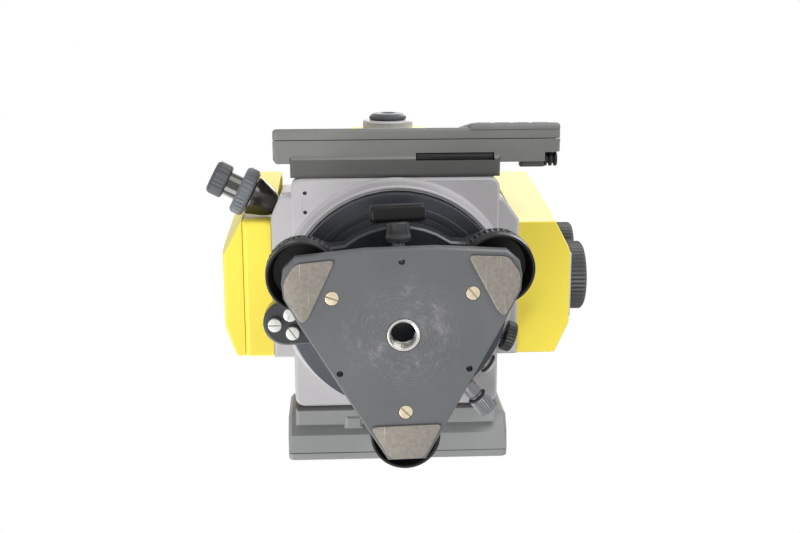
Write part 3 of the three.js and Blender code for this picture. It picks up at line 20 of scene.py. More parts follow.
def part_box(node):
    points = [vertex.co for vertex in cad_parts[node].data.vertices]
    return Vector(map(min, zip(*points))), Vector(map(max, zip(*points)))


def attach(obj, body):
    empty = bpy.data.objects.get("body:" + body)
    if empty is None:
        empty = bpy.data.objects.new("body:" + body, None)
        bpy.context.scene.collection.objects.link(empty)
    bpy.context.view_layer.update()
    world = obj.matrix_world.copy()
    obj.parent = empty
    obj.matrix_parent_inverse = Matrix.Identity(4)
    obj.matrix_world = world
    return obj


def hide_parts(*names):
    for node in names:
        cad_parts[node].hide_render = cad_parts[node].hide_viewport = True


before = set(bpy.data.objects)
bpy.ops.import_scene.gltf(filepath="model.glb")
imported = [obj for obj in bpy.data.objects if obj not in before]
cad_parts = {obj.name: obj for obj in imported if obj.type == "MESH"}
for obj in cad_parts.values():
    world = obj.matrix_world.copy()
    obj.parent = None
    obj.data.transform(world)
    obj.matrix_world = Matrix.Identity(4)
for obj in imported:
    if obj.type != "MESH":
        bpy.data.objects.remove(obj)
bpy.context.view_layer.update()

MM = 0.001
FULL_TURN = 2.0 * math.pi
MERGE_DISTANCE = 0.002 * MM
SMALLEST_LENGTH = 1e-9
SMALLEST_SQUARE = 1e-12
SHARP_DEGREES = 35.0
CAST_FLAT_DEGREES = 0.6
HULL_FLAT_DEGREES = 1.0
LOG = logging.getLogger("total_station")

Points = np.ndarray
Socket = bpy.types.NodeSocket
Span = tuple[float, float]
Colour = tuple[float, float, float]
Place = tuple[float, float, float]
Table = tuple[tuple[float, ...], ...]

UP: Place = (0.0, 0.0, 1.0)
LEFT: Place = (-1.0, 0.0, 0.0)
RIGHT: Place = (1.0, 0.0, 0.0)
FORWARDS: Place = (0.0, -1.0, 0.0)
BACKWARDS: Place = (0.0, 1.0, 0.0)


class Ends(Enum):
    """How the first and the last row of a grid close."""

    POLES = "poles"
    CAPS = "caps"
    LOOP = "loop"


class Scuff(Enum):
    """What use has left on a surface."""

    NONE = "none"
    SWIRLS = "swirls"
    SCRATCHES = "scratches"


@dataclass(frozen=True)
class Knurl:
    """Ridges cut along a grip.

    The radius falls by depth times the notch shape, which is (0.5 - 0.5 cos(count times the turn)) raised to
    sharpness, between the two heights and where the plain radius is more than reach.
    """

    count: int
    depth: float
    low: float
    high: float
    sharpness: float = 1.0
    reach: float = 0.0

    def radius(self, radius: Points, height: Points, turn: Points) -> Points:
        """Radius with the notches cut.

        Args:
            radius: Plain radius at each point of the grid.
            height: Height at each point of the grid.
            turn: Angle round the axis at each point of the grid.

        Returns:
            The radius less the notch depth where the point lies on the grip.
        """
        notch = (0.5 - 0.5 * np.cos(self.count * turn)) ** self.sharpness
        inside = (height > self.low) & (height < self.high) & (radius > self.reach)
        return radius - self.depth * notch * inside


def millimetres(rows: Table) -> Points:
    """Rows of lengths in millimetres as an array in metres."""
    return np.array(rows, float) * MM


def softened(corners: Points, reach: float | Points, steps: int = 5, closed: bool = False) -> Points:
    """Round the corners of a line of points.

    Each corner B becomes the curve (1 - t)^2 A + 2 t (1 - t) B + t^2 C, where A and C lie on its two edges,
    the reach away from it or 0.48 of the edge at most.

    Args:
        corners: Points of the line, one row each.
        reach: How far along each edge the curve starts, one for all corners or one each.
        steps: Pieces that each curve is cut into.
        closed: Whether the last point joins the first.

    Returns:
        The points of the rounded line. An open line keeps its two ends.
    """
    most_share = 0.48
    corners = np.asarray(corners, float)
    limit = np.broadcast_to(np.asarray(reach, float), (len(corners),))[:, None]

    def towards(neighbour: Points) -> Points:
        """Points on the edges to the neighbours where the curves start or end.

        Args:
            neighbour: The neighbour of each corner on one side.

        Returns:
            One point for each corner.
        """
        step = neighbour - corners
        length = np.maximum(np.linalg.norm(step, axis=1, keepdims=True), SMALLEST_LENGTH)
        return corners + step / length * np.minimum(limit, most_share * length)

    start = towards(np.roll(corners, 1, axis=0))[:, None]
    end = towards(np.roll(corners, -1, axis=0))[:, None]
    share = np.linspace(0.0, 1.0, steps + 1)[None, :, None]
    middle = corners[:, None]
    curves = (1 - share) ** 2 * start + 2 * share * (1 - share) * middle + share**2 * end
    if closed:
        return curves.reshape(-1, corners.shape[1])
    inner = curves[1:-1].reshape(-1, corners.shape[1])
    return np.concatenate([corners[:1], inner, corners[-1:]])


def turned(profile: Points, sides: int, knurl: Knurl | None = None) -> Points:
    """Carry a profile round Z.

    The point at turn a of a profile point (r, h) is (r cos a, r sin a, h), where a knurl may lower r.

    Args:
        profile: Rows of radius and height.
        sides: Points round the circle.
        knurl: Ridges along a grip, if it has them.

    Returns:
        A grid of points, rows along the profile and columns round the axis.
    """
    profile = np.asarray(profile, float)
    turn = np.linspace(0.0, FULL_TURN, sides, endpoint=False)[None, :]
    radius = np.broadcast_to(profile[:, :1], (len(profile), sides))
    height = np.broadcast_to(profile[:, 1:], (len(profile), sides))
    if knurl is not None:
        radius = knurl.radius(radius, height, turn)
    return np.stack([radius * np.cos(turn), radius * np.sin(turn), height], axis=-1)


def inset(outline: Points, distance: float) -> Points:
    """Move a closed outline inwards.

    Each point moves by the distance along the inward normal of the chord between its two neighbours.

    Args:
        outline: Closed line of x and y, anticlockwise.
        distance: How far each point moves, below 0 for outwards.

    Returns:
        The moved outline.
    """
    chord = np.roll(outline, -1, axis=0) - np.roll(outline, 1, axis=0)
    normal = np.stack([-chord[:, 1], chord[:, 0]], axis=-1)
    length = np.maximum(np.linalg.norm(normal, axis=1, keepdims=True), SMALLEST_LENGTH)
    return outline + normal / length * distance


def prism(outline: Points, low: float, high: float, rim: float, steps: int = 4) -> Points:
    """A flat outline with thickness, whose two rims are rounded.

    At angle a of a rim's quarter circle the outline is inset by rim (1 - sin a) at rim (1 - cos a) from the
    end face.

    Args:
        outline: Closed line of x and y, anticlockwise.
        low: Height of the lower face.
        high: Height of the upper face.
        rim: Radius of the rounding.
        steps: Rows in each rim.

    Returns:
        A grid of points, rows from the lower face to the upper one.
    """
    angle = np.linspace(0.0, math.pi / 2, steps + 1)
    insets = rim * (1 - np.sin(angle))
    rises = rim * (1 - np.cos(angle))
    lower = [with_height(inset(outline, i), low + r) for i, r in zip(insets, rises)]
    upper = [with_height(inset(outline, i), high - r) for i, r in zip(insets[::-1], rises[::-1])]
    return np.stack(lower + upper)


def with_height(outline: Points, height: float) -> Points:
    """Give a flat outline one height."""
    return np.concatenate([outline, np.full((len(outline), 1), height)], axis=1)


def rectangle(left: float, right: float, front: float, rear: float, corner: float) -> Points:
    """Anticlockwise outline of a rectangle with rounded corners."""
    corners = np.array([[left, front], [right, front], [right, rear], [left, rear]])
    return softened(corners, corner, closed=True)


def slab(sides: Span, depths: Span, corner: float, heights: Span, rim: float) -> Points:
    """Grid of a rectangle with thickness, with rounded corners and rims."""
    return prism(rectangle(*sides, *depths, corner), *heights, rim)


def swung(outline: Points, degrees: float) -> Points:
    """Turn flat points about the origin: x' = x cos a - y sin a, y' = x sin a + y cos a."""
    angle = math.radians(degrees)
    return outline @ np.array([[math.cos(angle), math.sin(angle)], [-math.sin(angle), math.cos(angle)]])


def heading(degrees: float) -> Place:
    """Level direction at an angle from +X: (cos a, sin a, 0)."""
    angle = math.radians(degrees)
    return math.cos(angle), math.sin(angle), 0.0


def along(grid: Points, origin: Place, direction: Place) -> Points:
    """Carry a grid that was made round Z to an axis through the origin given, by the shortest turn."""
    turn = Vector(UP).rotation_difference(Vector(direction)).to_matrix()
    return grid @ np.array(turn).T + np.array(origin, float)


def linked(name: str, data: bpy.types.ID) -> bpy.types.Object:
    """A new object on some data, linked to the scene.

    Args:
        name: Name of the object.
        data: Its mesh, camera or lamp.

    Returns:
        The object at the origin.
    """
    thing = bpy.data.objects.new(name, data)
    bpy.context.scene.collection.objects.link(thing)
    return thing


def read_vectors(items: bpy.types.bpy_prop_collection, attribute: str) -> Points:
    """Read a vector of every item of a mesh's list.

    Args:
        items: Vertices or polygons of a mesh.
        attribute: Name of the vector.

    Returns:
        One row of three numbers for each item.
    """
    values = np.zeros(len(items) * 3)
    items.foreach_get(attribute, values)
    return values.reshape(-1, 3)


@dataclass
class Shell:
    """Closed grids of points that become one mesh."""

    vertices: list[Points] = field(default_factory=list)
    faces: list[list[int]] = field(default_factory=list)

    def add(self, grid: Points, ends: Ends = Ends.CAPS) -> "Shell":
        """Add a grid whose columns run round a closed loop.

        Args:
            grid: Rows and columns of points.
            ends: How its first and last row close.

        Returns:
            The same shell, so that calls can follow one another.
        """
        rows, columns = grid.shape[:2]
        start = sum(len(points) for points in self.vertices)
        last = rows if ends is Ends.LOOP else rows - 1
        row, column = np.meshgrid(np.arange(last), np.arange(columns), indexing="ij")
        next_row = (row + 1) % rows
        next_column = (column + 1) % columns
        corners = (row * columns + column, row * columns + next_column,
                   next_row * columns + next_column, next_row * columns + column)
        quads = np.stack(corners, axis=-1).reshape(-1, 4)
        self.faces += (quads + start).tolist()
        if ends is Ends.CAPS:
            first_row = np.arange(columns)[::-1] + start
            last_row = np.arange(columns) + start + (rows - 1) * columns
            self.faces += [first_row.tolist(), last_row.tolist()]
        self.vertices.append(grid.reshape(-1, 3))
        return self

    def build(self, name: str) -> bpy.types.Object:
        """Put the grids into a mesh object at the origin, with doubles merged and faces pointing out.

        Args:
            name: Name of the object.

        Returns:
            The object, linked to the scene.
        """
        mesh = bpy.data.meshes.new(name)
        mesh.from_pydata(np.concatenate(self.vertices).tolist(), [], self.faces)
        return settle(mesh, name, SHARP_DEGREES)


def settle(mesh: bpy.types.Mesh, name: str, sharp_degrees: float,
           flat_degrees: float = 0.0) -> bpy.types.Object:
    """Merge doubles, point the faces out, shade by angle and link the mesh as an object.

    Args:
        mesh: The mesh, changed in place.
        name: Name of the object.
        sharp_degrees: Angle between faces from which their edge stays sharp.
        flat_degrees: Angle under which neighbouring faces are joined into one, or 0 for none.

    Returns:
        The object at the origin.
    """
    made = bmesh.new()
    made.from_mesh(mesh)
    bmesh.ops.remove_doubles(made, verts=made.verts, dist=MERGE_DISTANCE)
    if flat_degrees > 0:
        flat = math.radians(flat_degrees)
        bmesh.ops.dissolve_limit(made, angle_limit=flat, verts=made.verts, edges=made.edges)
    bmesh.ops.recalc_face_normals(made, faces=made.faces)
    made.to_mesh(mesh)
    made.free()
    mesh.shade_smooth()
    mesh.set_sharp_from_angle(angle=math.radians(sharp_degrees))
    return linked(name, mesh)


@dataclass(frozen=True)
class Rounding:
    """How the edges of a copied solid are rounded.

    The edges that also lie on the solid's convex hull get the outer width, and all others get the inner one.
    An edge at the far end of the solid in one of the seam directions keeps the inner width, so that the gap to
    its neighbour stays fine. Where squared is set, the chamfers that run down to the first seam are filled out to
    the solid's left and right ends before that.
    """

    inner: float
    outer: float
    seams: tuple[Place, ...] = ()
    sharp_degrees: float = 28.0
    squared: float = 0.0
    segments: int = 4
    seam_depth: float = 0.2 * MM
    seam_margin: float = 0.5 * MM
    hull_distance: float = 0.05 * MM

    def square(self, points: Points) -> None:
        """Move points at the first seam that lie near the solid's ends in X out to those ends.

        Args:
            points: Points of the solid, changed in place.
        """
        reach = points @ np.array(self.seams[0])
        at_seam = reach > reach.max() - self.seam_depth
        across = points[:, 0]
        for end in (across.min(), across.max()):
            across[at_seam & (np.abs(across - end) < self.squared)] = end

    def apply(self, thing: bpy.types.Object) -> None:
        """Weigh the sharp edges of an object and bevel them.

        Args:
            thing: The object, whose mesh is replaced by the rounded one.
        """
        ends, angles = edges_of(thing.data)
        middles = ends.mean(axis=1)
        hull = near_segments(middles, hull_edges(thing.data, self.sharp_degrees), self.hull_distance)
        for direction in self.seams:
            reach = middles @ np.array(direction)
            hull &= reach < reach.max() - self.seam_margin
        width = max(self.inner, self.outer)
        weights = np.where(hull, self.outer, self.inner) / width * (angles > math.radians(self.sharp_degrees))
        attribute = thing.data.attributes.new("bevel_weight_edge", "FLOAT", "EDGE")
        attribute.data.foreach_set("value", weights)
        bevel = thing.modifiers.new("rounding", "BEVEL")
        bevel.width = width
        bevel.segments = self.segments
        bevel.limit_method = "WEIGHT"
        bevel.use_clamp_overlap = True
        bevel.harden_normals = True
        bevel.miter_outer = "MITER_ARC"
        apply_modifiers(thing)


def edges_of(mesh: bpy.types.Mesh) -> tuple[Points, Points]:
    """Where the edges of a mesh lie, and how sharp they are.

    Args:
        mesh: The mesh.

    Returns:
        Both ends of each edge, and the angle between its two faces.
    """
    made = bmesh.new()
    made.from_mesh(mesh)
    ends = np.array([[tuple(vertex.co) for vertex in edge.verts] for edge in made.edges])
    angles = np.array([edge.calc_face_angle(0.0) for edge in made.edges])
    made.free()
    return ends, angles


def hull_edges(mesh: bpy.types.Mesh, sharp_degrees: float) -> Points:
    """Where the sharp edges of a mesh's convex hull lie.

    Args:
        mesh: The mesh.
        sharp_degrees: Angle between two faces of the hull from which their edge counts.

    Returns:
        Both ends of each of these edges.
    """
    cloud = bpy.data.meshes.new("hull")
    cloud.from_pydata(read_vectors(mesh.vertices, "co").tolist(), [], [])
    made = bmesh.new()
    made.from_mesh(cloud)
    bpy.data.meshes.remove(cloud)
    result = bmesh.ops.convex_hull(made, input=made.verts)
    bmesh.ops.delete(made, geom=result["geom_interior"], context="VERTS")
    flat = math.radians(HULL_FLAT_DEGREES)
    bmesh.ops.dissolve_limit(made, angle_limit=flat, verts=made.verts, edges=made.edges)
    limit = math.radians(sharp_degrees)
    sharp = [edge for edge in made.edges if edge.calc_face_angle(0.0) > limit]
    ends = np.array([[tuple(vertex.co) for vertex in edge.verts] for edge in sharp])
    made.free()
    return ends


def near_segments(points: Points, segments: Points, distance: float) -> Points:
    """Find the points near some segments.

    The place on a segment from S along R that is nearest to P is S + s R, where s is (P - S).R / R.R, held
    between 0 and 1.

    Args:
        points: One row for each point.
        segments: Both ends of each segment.
        distance: How near counts.

    Returns:
        Whether each point is nearer than that to one of the segments.
    """
    start = segments[None, :, 0]
    run = segments[None, :, 1] - start
    square = np.maximum((run**2).sum(-1), SMALLEST_SQUARE)
    share = np.clip(((points[:, None] - start) * run).sum(-1) / square, 0.0, 1.0)
    away = np.linalg.norm(points[:, None] - (start + share[..., None] * run), axis=-1)
    return away.min(axis=1) < distance


def casting(node: str, name: str, rounding: Rounding) -> bpy.types.Object:
    """A copy of a solid of the frame with its edges rounded.

    Args:
        node: Name of the solid.
        name: Name of the new object.
        rounding: How its edges are rounded.

    Returns:
        The object, whose Bevel modifier is applied.
    """
    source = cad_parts[node].data
    points = read_vectors(source.vertices, "co")
    if rounding.squared:
        rounding.square(points)
    mesh = bpy.data.meshes.new(name)
    mesh.from_pydata(points.tolist(), [], [list(polygon.vertices) for polygon in source.polygons])
    thing = settle(mesh, name, rounding.sharp_degrees, CAST_FLAT_DEGREES)
    rounding.apply(thing)
    return thing


def apply_modifiers(thing: bpy.types.Object) -> None:
    """Replace an object's mesh by what its modifiers make of it, and remove them.

    Args:
        thing: The object.
    """
    depsgraph = bpy.context.evaluated_depsgraph_get()
    mesh = bpy.data.meshes.new_from_object(thing.evaluated_get(depsgraph))
    thing.modifiers.clear()
    thing.data = mesh


def carve(thing: bpy.types.Object, tool: Shell) -> None:
    """Cut a closed shell out of an object.

    Args:
        thing: The object, whose mesh is replaced by the cut one.
        tool: The shell.
    """
    cutter = tool.build(thing.name + "_tool")
    cut = thing.modifiers.new("carve", "BOOLEAN")
    cut.operation = "DIFFERENCE"
    cut.solver = "EXACT"
    cut.object = cutter
    apply_modifiers(thing)
    bpy.data.objects.remove(cutter)
    thing.data.set_sharp_from_angle(angle=math.radians(SHARP_DEGREES))


class Graph:
    """A node tree with short calls to add nodes and links."""

    def __init__(self, tree: bpy.types.NodeTree) -> None:
        """Start from an empty tree."""
        self.tree = tree
        tree.nodes.clear()

    def feed(self, socket: Socket, value: object) -> None:
        """Link an output to an input, or set the input's own value.

        Args:
            socket: The input.
            value: An output socket or a plain value.
        """
        if isinstance(value, Socket):
            self.tree.links.new(value, socket)
        else:
            socket.default_value = value

    def add(self, kind: str, settings: dict | None = None, **inputs: object) -> bpy.types.Node:
        """Add a node.

        Args:
            kind: Blender's name for the node type.
            settings: Properties of the node itself.
            **inputs: Values or output sockets for inputs, named with underscores for spaces.

        Returns:
            The node.
        """
        node = self.tree.nodes.new(kind)
        for name, value in (settings or {}).items():
            setattr(node, name, value)
        for name, value in inputs.items():
            self.feed(node.inputs[name.replace("_", " ")], value)
        return node

    def place(self) -> Socket:
        """Object coordinates."""
        return self.add("ShaderNodeTexCoord").outputs["Object"]

    def noise(self, place: Socket, scale: object, **inputs: float) -> Socket:
        """Value of a noise texture at a place."""
        return self.add("ShaderNodeTexNoise", Vector=place, Scale=scale, **inputs).outputs[0]

    def maths(self, operation: str, first: object, second: object = 0.0) -> Socket:
        """Add a Math node on one or two values.

        Args:
            operation: Blender's name for what the node does.
            first: The first value or output socket.
            second: The second one, if the operation reads it.

        Returns:
            The node's output.
        """
        node = self.add("ShaderNodeMath", {"operation": operation})
        self.feed(node.inputs[0], first)
        self.feed(node.inputs[1], second)
        return node.outputs[0]

    def blend(self, share: object, first: object, second: object) -> Socket:
        """Add a Mix node on two colours, whose colour sockets are inputs 6 and 7 and output 2.

        Args:
            share: How much of the second colour shows, from 0 to 1.
            first: The first colour.
            second: The second colour.

        Returns:
            The colour between the two.
        """
        node = self.add("ShaderNodeMix", {"data_type": "RGBA"})
        for number, value in ((0, share), (6, first), (7, second)):
            self.feed(node.inputs[number], value)
        return node.outputs[2]

    def ramp(self, value: Socket, low: object, high: object, first: float = 0.0, last: float = 1.0) -> Socket:
        """Map a value: first below low, last above high, and even in between.

        Args:
            value: The value to map.
            low: Where the slope starts.
            high: Where the slope ends.
            first: Result below the slope.
            last: Result above the slope.

        Returns:
            The mapped value.
        """
        node = self.add("ShaderNodeMapRange", {"clamp": True}, Value=value, From_Min=low, From_Max=high,
                        To_Min=first, To_Max=last)
        return node.outputs["Result"]


def new_group(name: str, inputs: dict[str, float],
              outputs: list[str]) -> tuple[Graph, bpy.types.Node, bpy.types.Node]:
    """An empty node group with number sockets.

    Args:
        name: Name of the group.
        inputs: Names of the inputs and their usual values.
        outputs: Names of the outputs.

    Returns:
        Its graph, its input node and its output node.
    """
    tree = bpy.data.node_groups.new(name, "ShaderNodeTree")
    for socket_name, value in inputs.items():
        socket = tree.interface.new_socket(socket_name, in_out="INPUT", socket_type="NodeSocketFloat")
        socket.default_value = value
    for socket_name in outputs:
        tree.interface.new_socket(socket_name, in_out="OUTPUT", socket_type="NodeSocketFloat")
    graph = Graph(tree)
    return graph, graph.add("NodeGroupInput"), graph.add("NodeGroupOutput")


class Effects:
    """Shader node groups that several finishes share, each built once.

    Each Span is the range of a noise, or of a share of the way outwards, over which a mask goes from 0 to 1.
    """

    made: dict[str, bpy.types.NodeTree] = {}
    worn_places: Span = (0.3, 0.6)
    thin_rings: Span = (0.53, 0.66)
    torn_rings: Span = (0.4, 0.62)
    dull_patches: Span = (0.525, 0.61)
    swirls_begin: Span = (0.0, 0.1)
    swirls_fade: Span = (0.5, 1.0)
    swirls_reach: Span = (8.5 * MM, 36.0 * MM)
    ring_strength: float = 0.75
    ring_roughness: float = 0.8
    rings_a_metre: float = 1900.0
    ring_wander: float = 9.0
    wander_scale: float = 60.0
    dull_scale: float = 75.0
    dull_roughness: float = 0.74
    streaks_a_radian: float = 3.2
    scratch_degrees: Span = (25.0, -55.0)
    scratch_stretch: Place = (1.0, 0.03, 0.3)
    scratch_peak: float = 0.78
    scratch_gain: float = 12.0

    @classmethod
    def get(cls, name: str) -> bpy.types.NodeTree:
        """A group, built at the first call for it.

        Args:
            name: One of grain, wear, swirls and scratches.

        Returns:
            The group's tree.
        """
        if name not in cls.made:
            makers = {"grain": cls.grain, "wear": cls.wear, "swirls": cls.swirls, "scratches": cls.scratches}
            cls.made[name] = makers[name]()
        return cls.made[name]

    @classmethod
    def grain(cls) -> bpy.types.NodeTree:
        """Fine moulded or cast texture, and slow changes of tone across a surface.

        Returns:
            The group's tree.
        """
        graph, given, result = new_group("grain", {"Scale": 2000.0, "Patches": 30.0}, ["Height", "Tone"])
        place = graph.place()
        graph.feed(result.inputs["Height"], graph.noise(place, given.outputs["Scale"], Detail=2.0))
        graph.feed(result.inputs["Tone"], graph.noise(place, given.outputs["Patches"], Detail=4.0))
        return graph.tree

    @classmethod
    def wear(cls) -> bpy.types.NodeTree:
        """Mask of rubbed edges: where the normal of a rounded edge departs from the surface's own.

        Returns:
            The group's tree.
        """
        graph, given, result = new_group("wear", {"Radius": 0.5 * MM, "Gain": 6.0, "Scale": 350.0}, ["Mask"])
        rounded = graph.add("ShaderNodeBevel", {"samples": 4}, Radius=given.outputs["Radius"])
        own = graph.add("ShaderNodeNewGeometry")
        alike = graph.add("ShaderNodeVectorMath", {"operation": "DOT_PRODUCT"})
        graph.feed(alike.inputs[0], rounded.outputs["Normal"])
        graph.feed(alike.inputs[1], own.outputs["Normal"])
        departs = graph.maths("SUBTRACT", 1.0, alike.outputs["Value"])
        strong = graph.maths("MULTIPLY", departs, given.outputs["Gain"])
        patches = graph.noise(graph.place(), given.outputs["Scale"], Detail=3.0)
        mask = graph.maths("MULTIPLY", strong, graph.ramp(patches, *cls.worn_places))
        graph.feed(result.inputs["Mask"], graph.maths("MINIMUM", mask, 1.0))
        return graph.tree

    @classmethod
    def swirls(cls) -> bpy.types.NodeTree:
        """Mask of the rings and dull patches that a tripod bolt's collar rubs round the vertical axis.

        The fine noise is read at the radius and the turn round the axis, stretched along the turn. It shows as
        thin rings, and as the grain of broader rubbed patches, between an inner and an outer radius.

        Returns:
            The group's tree.
        """
        graph, given, result = new_group("swirls", dict(zip(("Inner", "Outer"), cls.swirls_reach)), ["Mask"])
        place = graph.place()
        parts = graph.add("ShaderNodeSeparateXYZ", Vector=place)
        across = graph.maths("MULTIPLY", parts.outputs[0], parts.outputs[0])
        deep = graph.maths("MULTIPLY", parts.outputs[1], parts.outputs[1])
        radius = graph.maths("SQRT", graph.maths("ADD", across, deep))
        turn = graph.maths("ARCTAN2", parts.outputs[1], parts.outputs[0])
        wander = graph.maths("MULTIPLY", graph.noise(place, cls.wander_scale, Detail=1.0), cls.ring_wander)
        shaken = graph.maths("ADD", graph.maths("MULTIPLY", radius, cls.rings_a_metre), wander)
        streak = graph.add("ShaderNodeCombineXYZ", X=shaken, Y=graph.maths("MULTIPLY", turn, cls.streaks_a_radian))
        rings = graph.noise(streak.outputs[0], 1.0, Detail=4.0, Roughness=cls.ring_roughness)
        dull = graph.noise(place, cls.dull_scale, Detail=9.0, Roughness=cls.dull_roughness)
        thin = graph.maths("MULTIPLY", graph.ramp(rings, *cls.thin_rings), cls.ring_strength)
        torn = graph.maths("MULTIPLY", graph.ramp(dull, *cls.dull_patches), graph.ramp(rings, *cls.torn_rings))
        outwards = graph.ramp(radius, given.outputs["Inner"], given.outputs["Outer"])
        fading = graph.maths("SUBTRACT", 1.0, graph.ramp(outwards, *cls.swirls_fade))
        zone = graph.maths("MULTIPLY", graph.ramp(outwards, *cls.swirls_begin), fading)
        either = graph.maths("MAXIMUM", thin, torn)
        graph.feed(result.inputs["Mask"], graph.maths("MULTIPLY", either, zone))
        return graph.tree

    @classmethod
    def scratches(cls) -> bpy.types.NodeTree:
        """Mask of short fine scratches in two directions: noise stretched thirtyfold and cut near its peak.

        Returns:
            The group's tree.
        """
        graph, given, result = new_group("scratches", {"Scale": 900.0, "Amount": 0.1}, ["Mask"])
        place = graph.place()
        limit = graph.maths("SUBTRACT", cls.scratch_peak, given.outputs["Amount"])
        masks = []
        for degrees in cls.scratch_degrees:
            turned_by = (0.0, 0.0, math.radians(degrees))
            mapping = graph.add("ShaderNodeMapping", Vector=place, Rotation=turned_by, Scale=cls.scratch_stretch)
            over = graph.maths("SUBTRACT", graph.noise(mapping.outputs[0], given.outputs["Scale"]), limit)
            masks.append(graph.maths("MULTIPLY", over, cls.scratch_gain))
        both = graph.maths("MAXIMUM", graph.maths("MAXIMUM", *masks), 0.0)
        graph.feed(result.inputs["Mask"], graph.maths("MINIMUM", both, 1.0))
        return graph.tree


class Surface:
    """What every finish shares: a name, the name of a material slot, and a material built once."""

    name: str
    slot: str

    def material(self) -> bpy.types.Material:
        """The finish as a material, built at the first call.

        Returns:
            The material, under a name that no material of the frame has.
        """
        label = self.name + "_look"
        found = bpy.data.materials.get(label)
        if found is None:
            found = bpy.data.materials.new(label)
            found.use_nodes = True
            graph = Graph(found.node_tree)
            output = graph.add("ShaderNodeOutputMaterial")
            graph.feed(output.inputs["Surface"], self.shader(graph).outputs[0])
        return found

    def shader(self, graph: Graph) -> bpy.types.Node:
        """The shader node of this finish, with what feeds it."""
        raise NotImplementedError


@dataclass(frozen=True)
class Finish(Surface):
    """A painted, moulded or machined surface."""

    name: str
    slot: str
    colour: Colour
    roughness: float = 0.5
    metallic: float = 0.0
    coat: float = 0.0
    specular: float = 0.5
    texture: float = 0.02 * MM
    texture_scale: float = 2500.0
    mottle: float = 0.06
    patch_scale: float = 30.0
    wear: float = 0.0
    wear_colour: Colour = (0.6, 0.6, 0.58)
    wear_metallic: float = 0.6
    scuff: Scuff = Scuff.NONE
    scuff_colour: Colour = (0.5, 0.49, 0.48)
    tones: Span = (0.3, 0.7)
    gloss_change: float = 0.1

    def shader(self, graph: Graph) -> bpy.types.Node:
        """A Principled shader with mottled colour, uneven gloss, fine bump, scuffs and rubbed edges.

        Args:
            graph: Graph of the material.

        Returns:
            The shader node.
        """
        shader = graph.add("ShaderNodeBsdfPrincipled", Coat_Weight=self.coat, Metallic=self.metallic,
                           Specular_IOR_Level=self.specular)
        grain = self.group(graph, "grain", Scale=self.texture_scale, Patches=self.patch_scale)
        tone = grain.outputs["Tone"]
        share = graph.ramp(tone, *self.tones)
        colour = graph.blend(share, self.shade(-self.mottle), self.shade(self.mottle))
        smooth, rough = (self.roughness * (1.0 + change) for change in (-self.gloss_change, self.gloss_change))
        graph.feed(shader.inputs["Roughness"], graph.ramp(tone, 0.0, 1.0, smooth, rough))
        if self.scuff is not Scuff.NONE:
            mask = self.group(graph, self.scuff.value).outputs["Mask"]
            colour = graph.blend(mask, colour, (*self.scuff_colour, 1.0))
        if self.wear > 0:
            mask = self.group(graph, "wear", Gain=self.wear).outputs["Mask"]
            colour = graph.blend(mask, colour, (*self.wear_colour, 1.0))
            metal = graph.ramp(mask, 0.0, 1.0, self.metallic, self.wear_metallic)
            graph.feed(shader.inputs["Metallic"], metal)
        graph.feed(shader.inputs["Base Color"], colour)
        if self.texture > 0:
            bump = graph.add("ShaderNodeBump", Height=grain.outputs["Height"], Strength=1.0, Distance=self.texture)
            graph.feed(shader.inputs["Normal"], bump.outputs["Normal"])
        return shader

    def shade(self, change: float) -> tuple[float, float, float, float]:
        """The colour made lighter or darker by a share of itself."""
        red, green, blue = (min(1.0, part * (1.0 + change)) for part in self.colour)
        return red, green, blue, 1.0

    @staticmethod
    def group(graph: Graph, name: str, **inputs: float) -> bpy.types.Node:
        """Place a shared effect in a material with its own values."""
        return graph.add("ShaderNodeGroup", {"node_tree": Effects.get(name)}, **inputs)


@dataclass(frozen=True)
class Glass(Surface):
    """Clear or coated glass with a faint tint and a trace of dust in its gloss."""

    name: str
    slot: str = "glass"
    colour: Colour = (0.86, 0.92, 0.9)
    roughness: float = 0.03
    roughness_shares: Span = (0.5, 2.5)
    refraction: float = 1.5
    dust_scale: float = 260.0
    dusty: Span = (0.4, 0.8)

    def shader(self, graph: Graph) -> bpy.types.Node:
        """A transmitting Principled shader whose roughness varies with a fine noise.

        Args:
            graph: Graph of the material.

        Returns:
            The shader node.
        """
        shader = graph.add("ShaderNodeBsdfPrincipled", Base_Color=(*self.colour, 1.0),
                           IOR=self.refraction, Transmission_Weight=1.0)
        dust = graph.noise(graph.place(), self.dust_scale, Detail=6.0)
        clean, dull = (self.roughness * share for share in self.roughness_shares)
        graph.feed(shader.inputs["Roughness"], graph.ramp(dust, *self.dusty, clean, dull))
        return shader


@dataclass(frozen=True)
class Crystal(Surface):
    """A liquid crystal field behind glass: grey-green, with a fine grid of dots and slow changes of tone."""

    name: str = "crystal_display"
    slot: str = "display"
    colour: Colour = (0.2, 0.235, 0.19)
    dot_scale: float = 1400.0
    dot_share: float = 0.84
    dim_share: float = 0.7
    dim_scale: float = 40.0
    dim_places: Span = (0.45, 0.85)
    roughness: Span = (0.1, 0.22)
    coat: float = 0.7

    def shader(self, graph: Graph) -> bpy.types.Node:
        """A glossy Principled shader over a checkered colour.

        Args:
            graph: Graph of the material.

        Returns:
            The shader node.
        """
        shader = graph.add("ShaderNodeBsdfPrincipled", Coat_Weight=self.coat)
        place = graph.place()
        plain, dot, dim = ((*(share * part for part in self.colour), 1.0)
                           for share in (1.0, self.dot_share, self.dim_share))
        dots = graph.add("ShaderNodeTexChecker", Vector=place, Scale=self.dot_scale, Color1=plain, Color2=dot)
        slow = graph.noise(place, self.dim_scale, Detail=2.0)
        colour = graph.blend(graph.ramp(slow, *self.dim_places), dots.outputs["Color"], dim)
        graph.feed(shader.inputs["Base Color"], colour)
        graph.feed(shader.inputs["Roughness"], graph.ramp(slow, 0.0, 1.0, *self.roughness))
        return shader


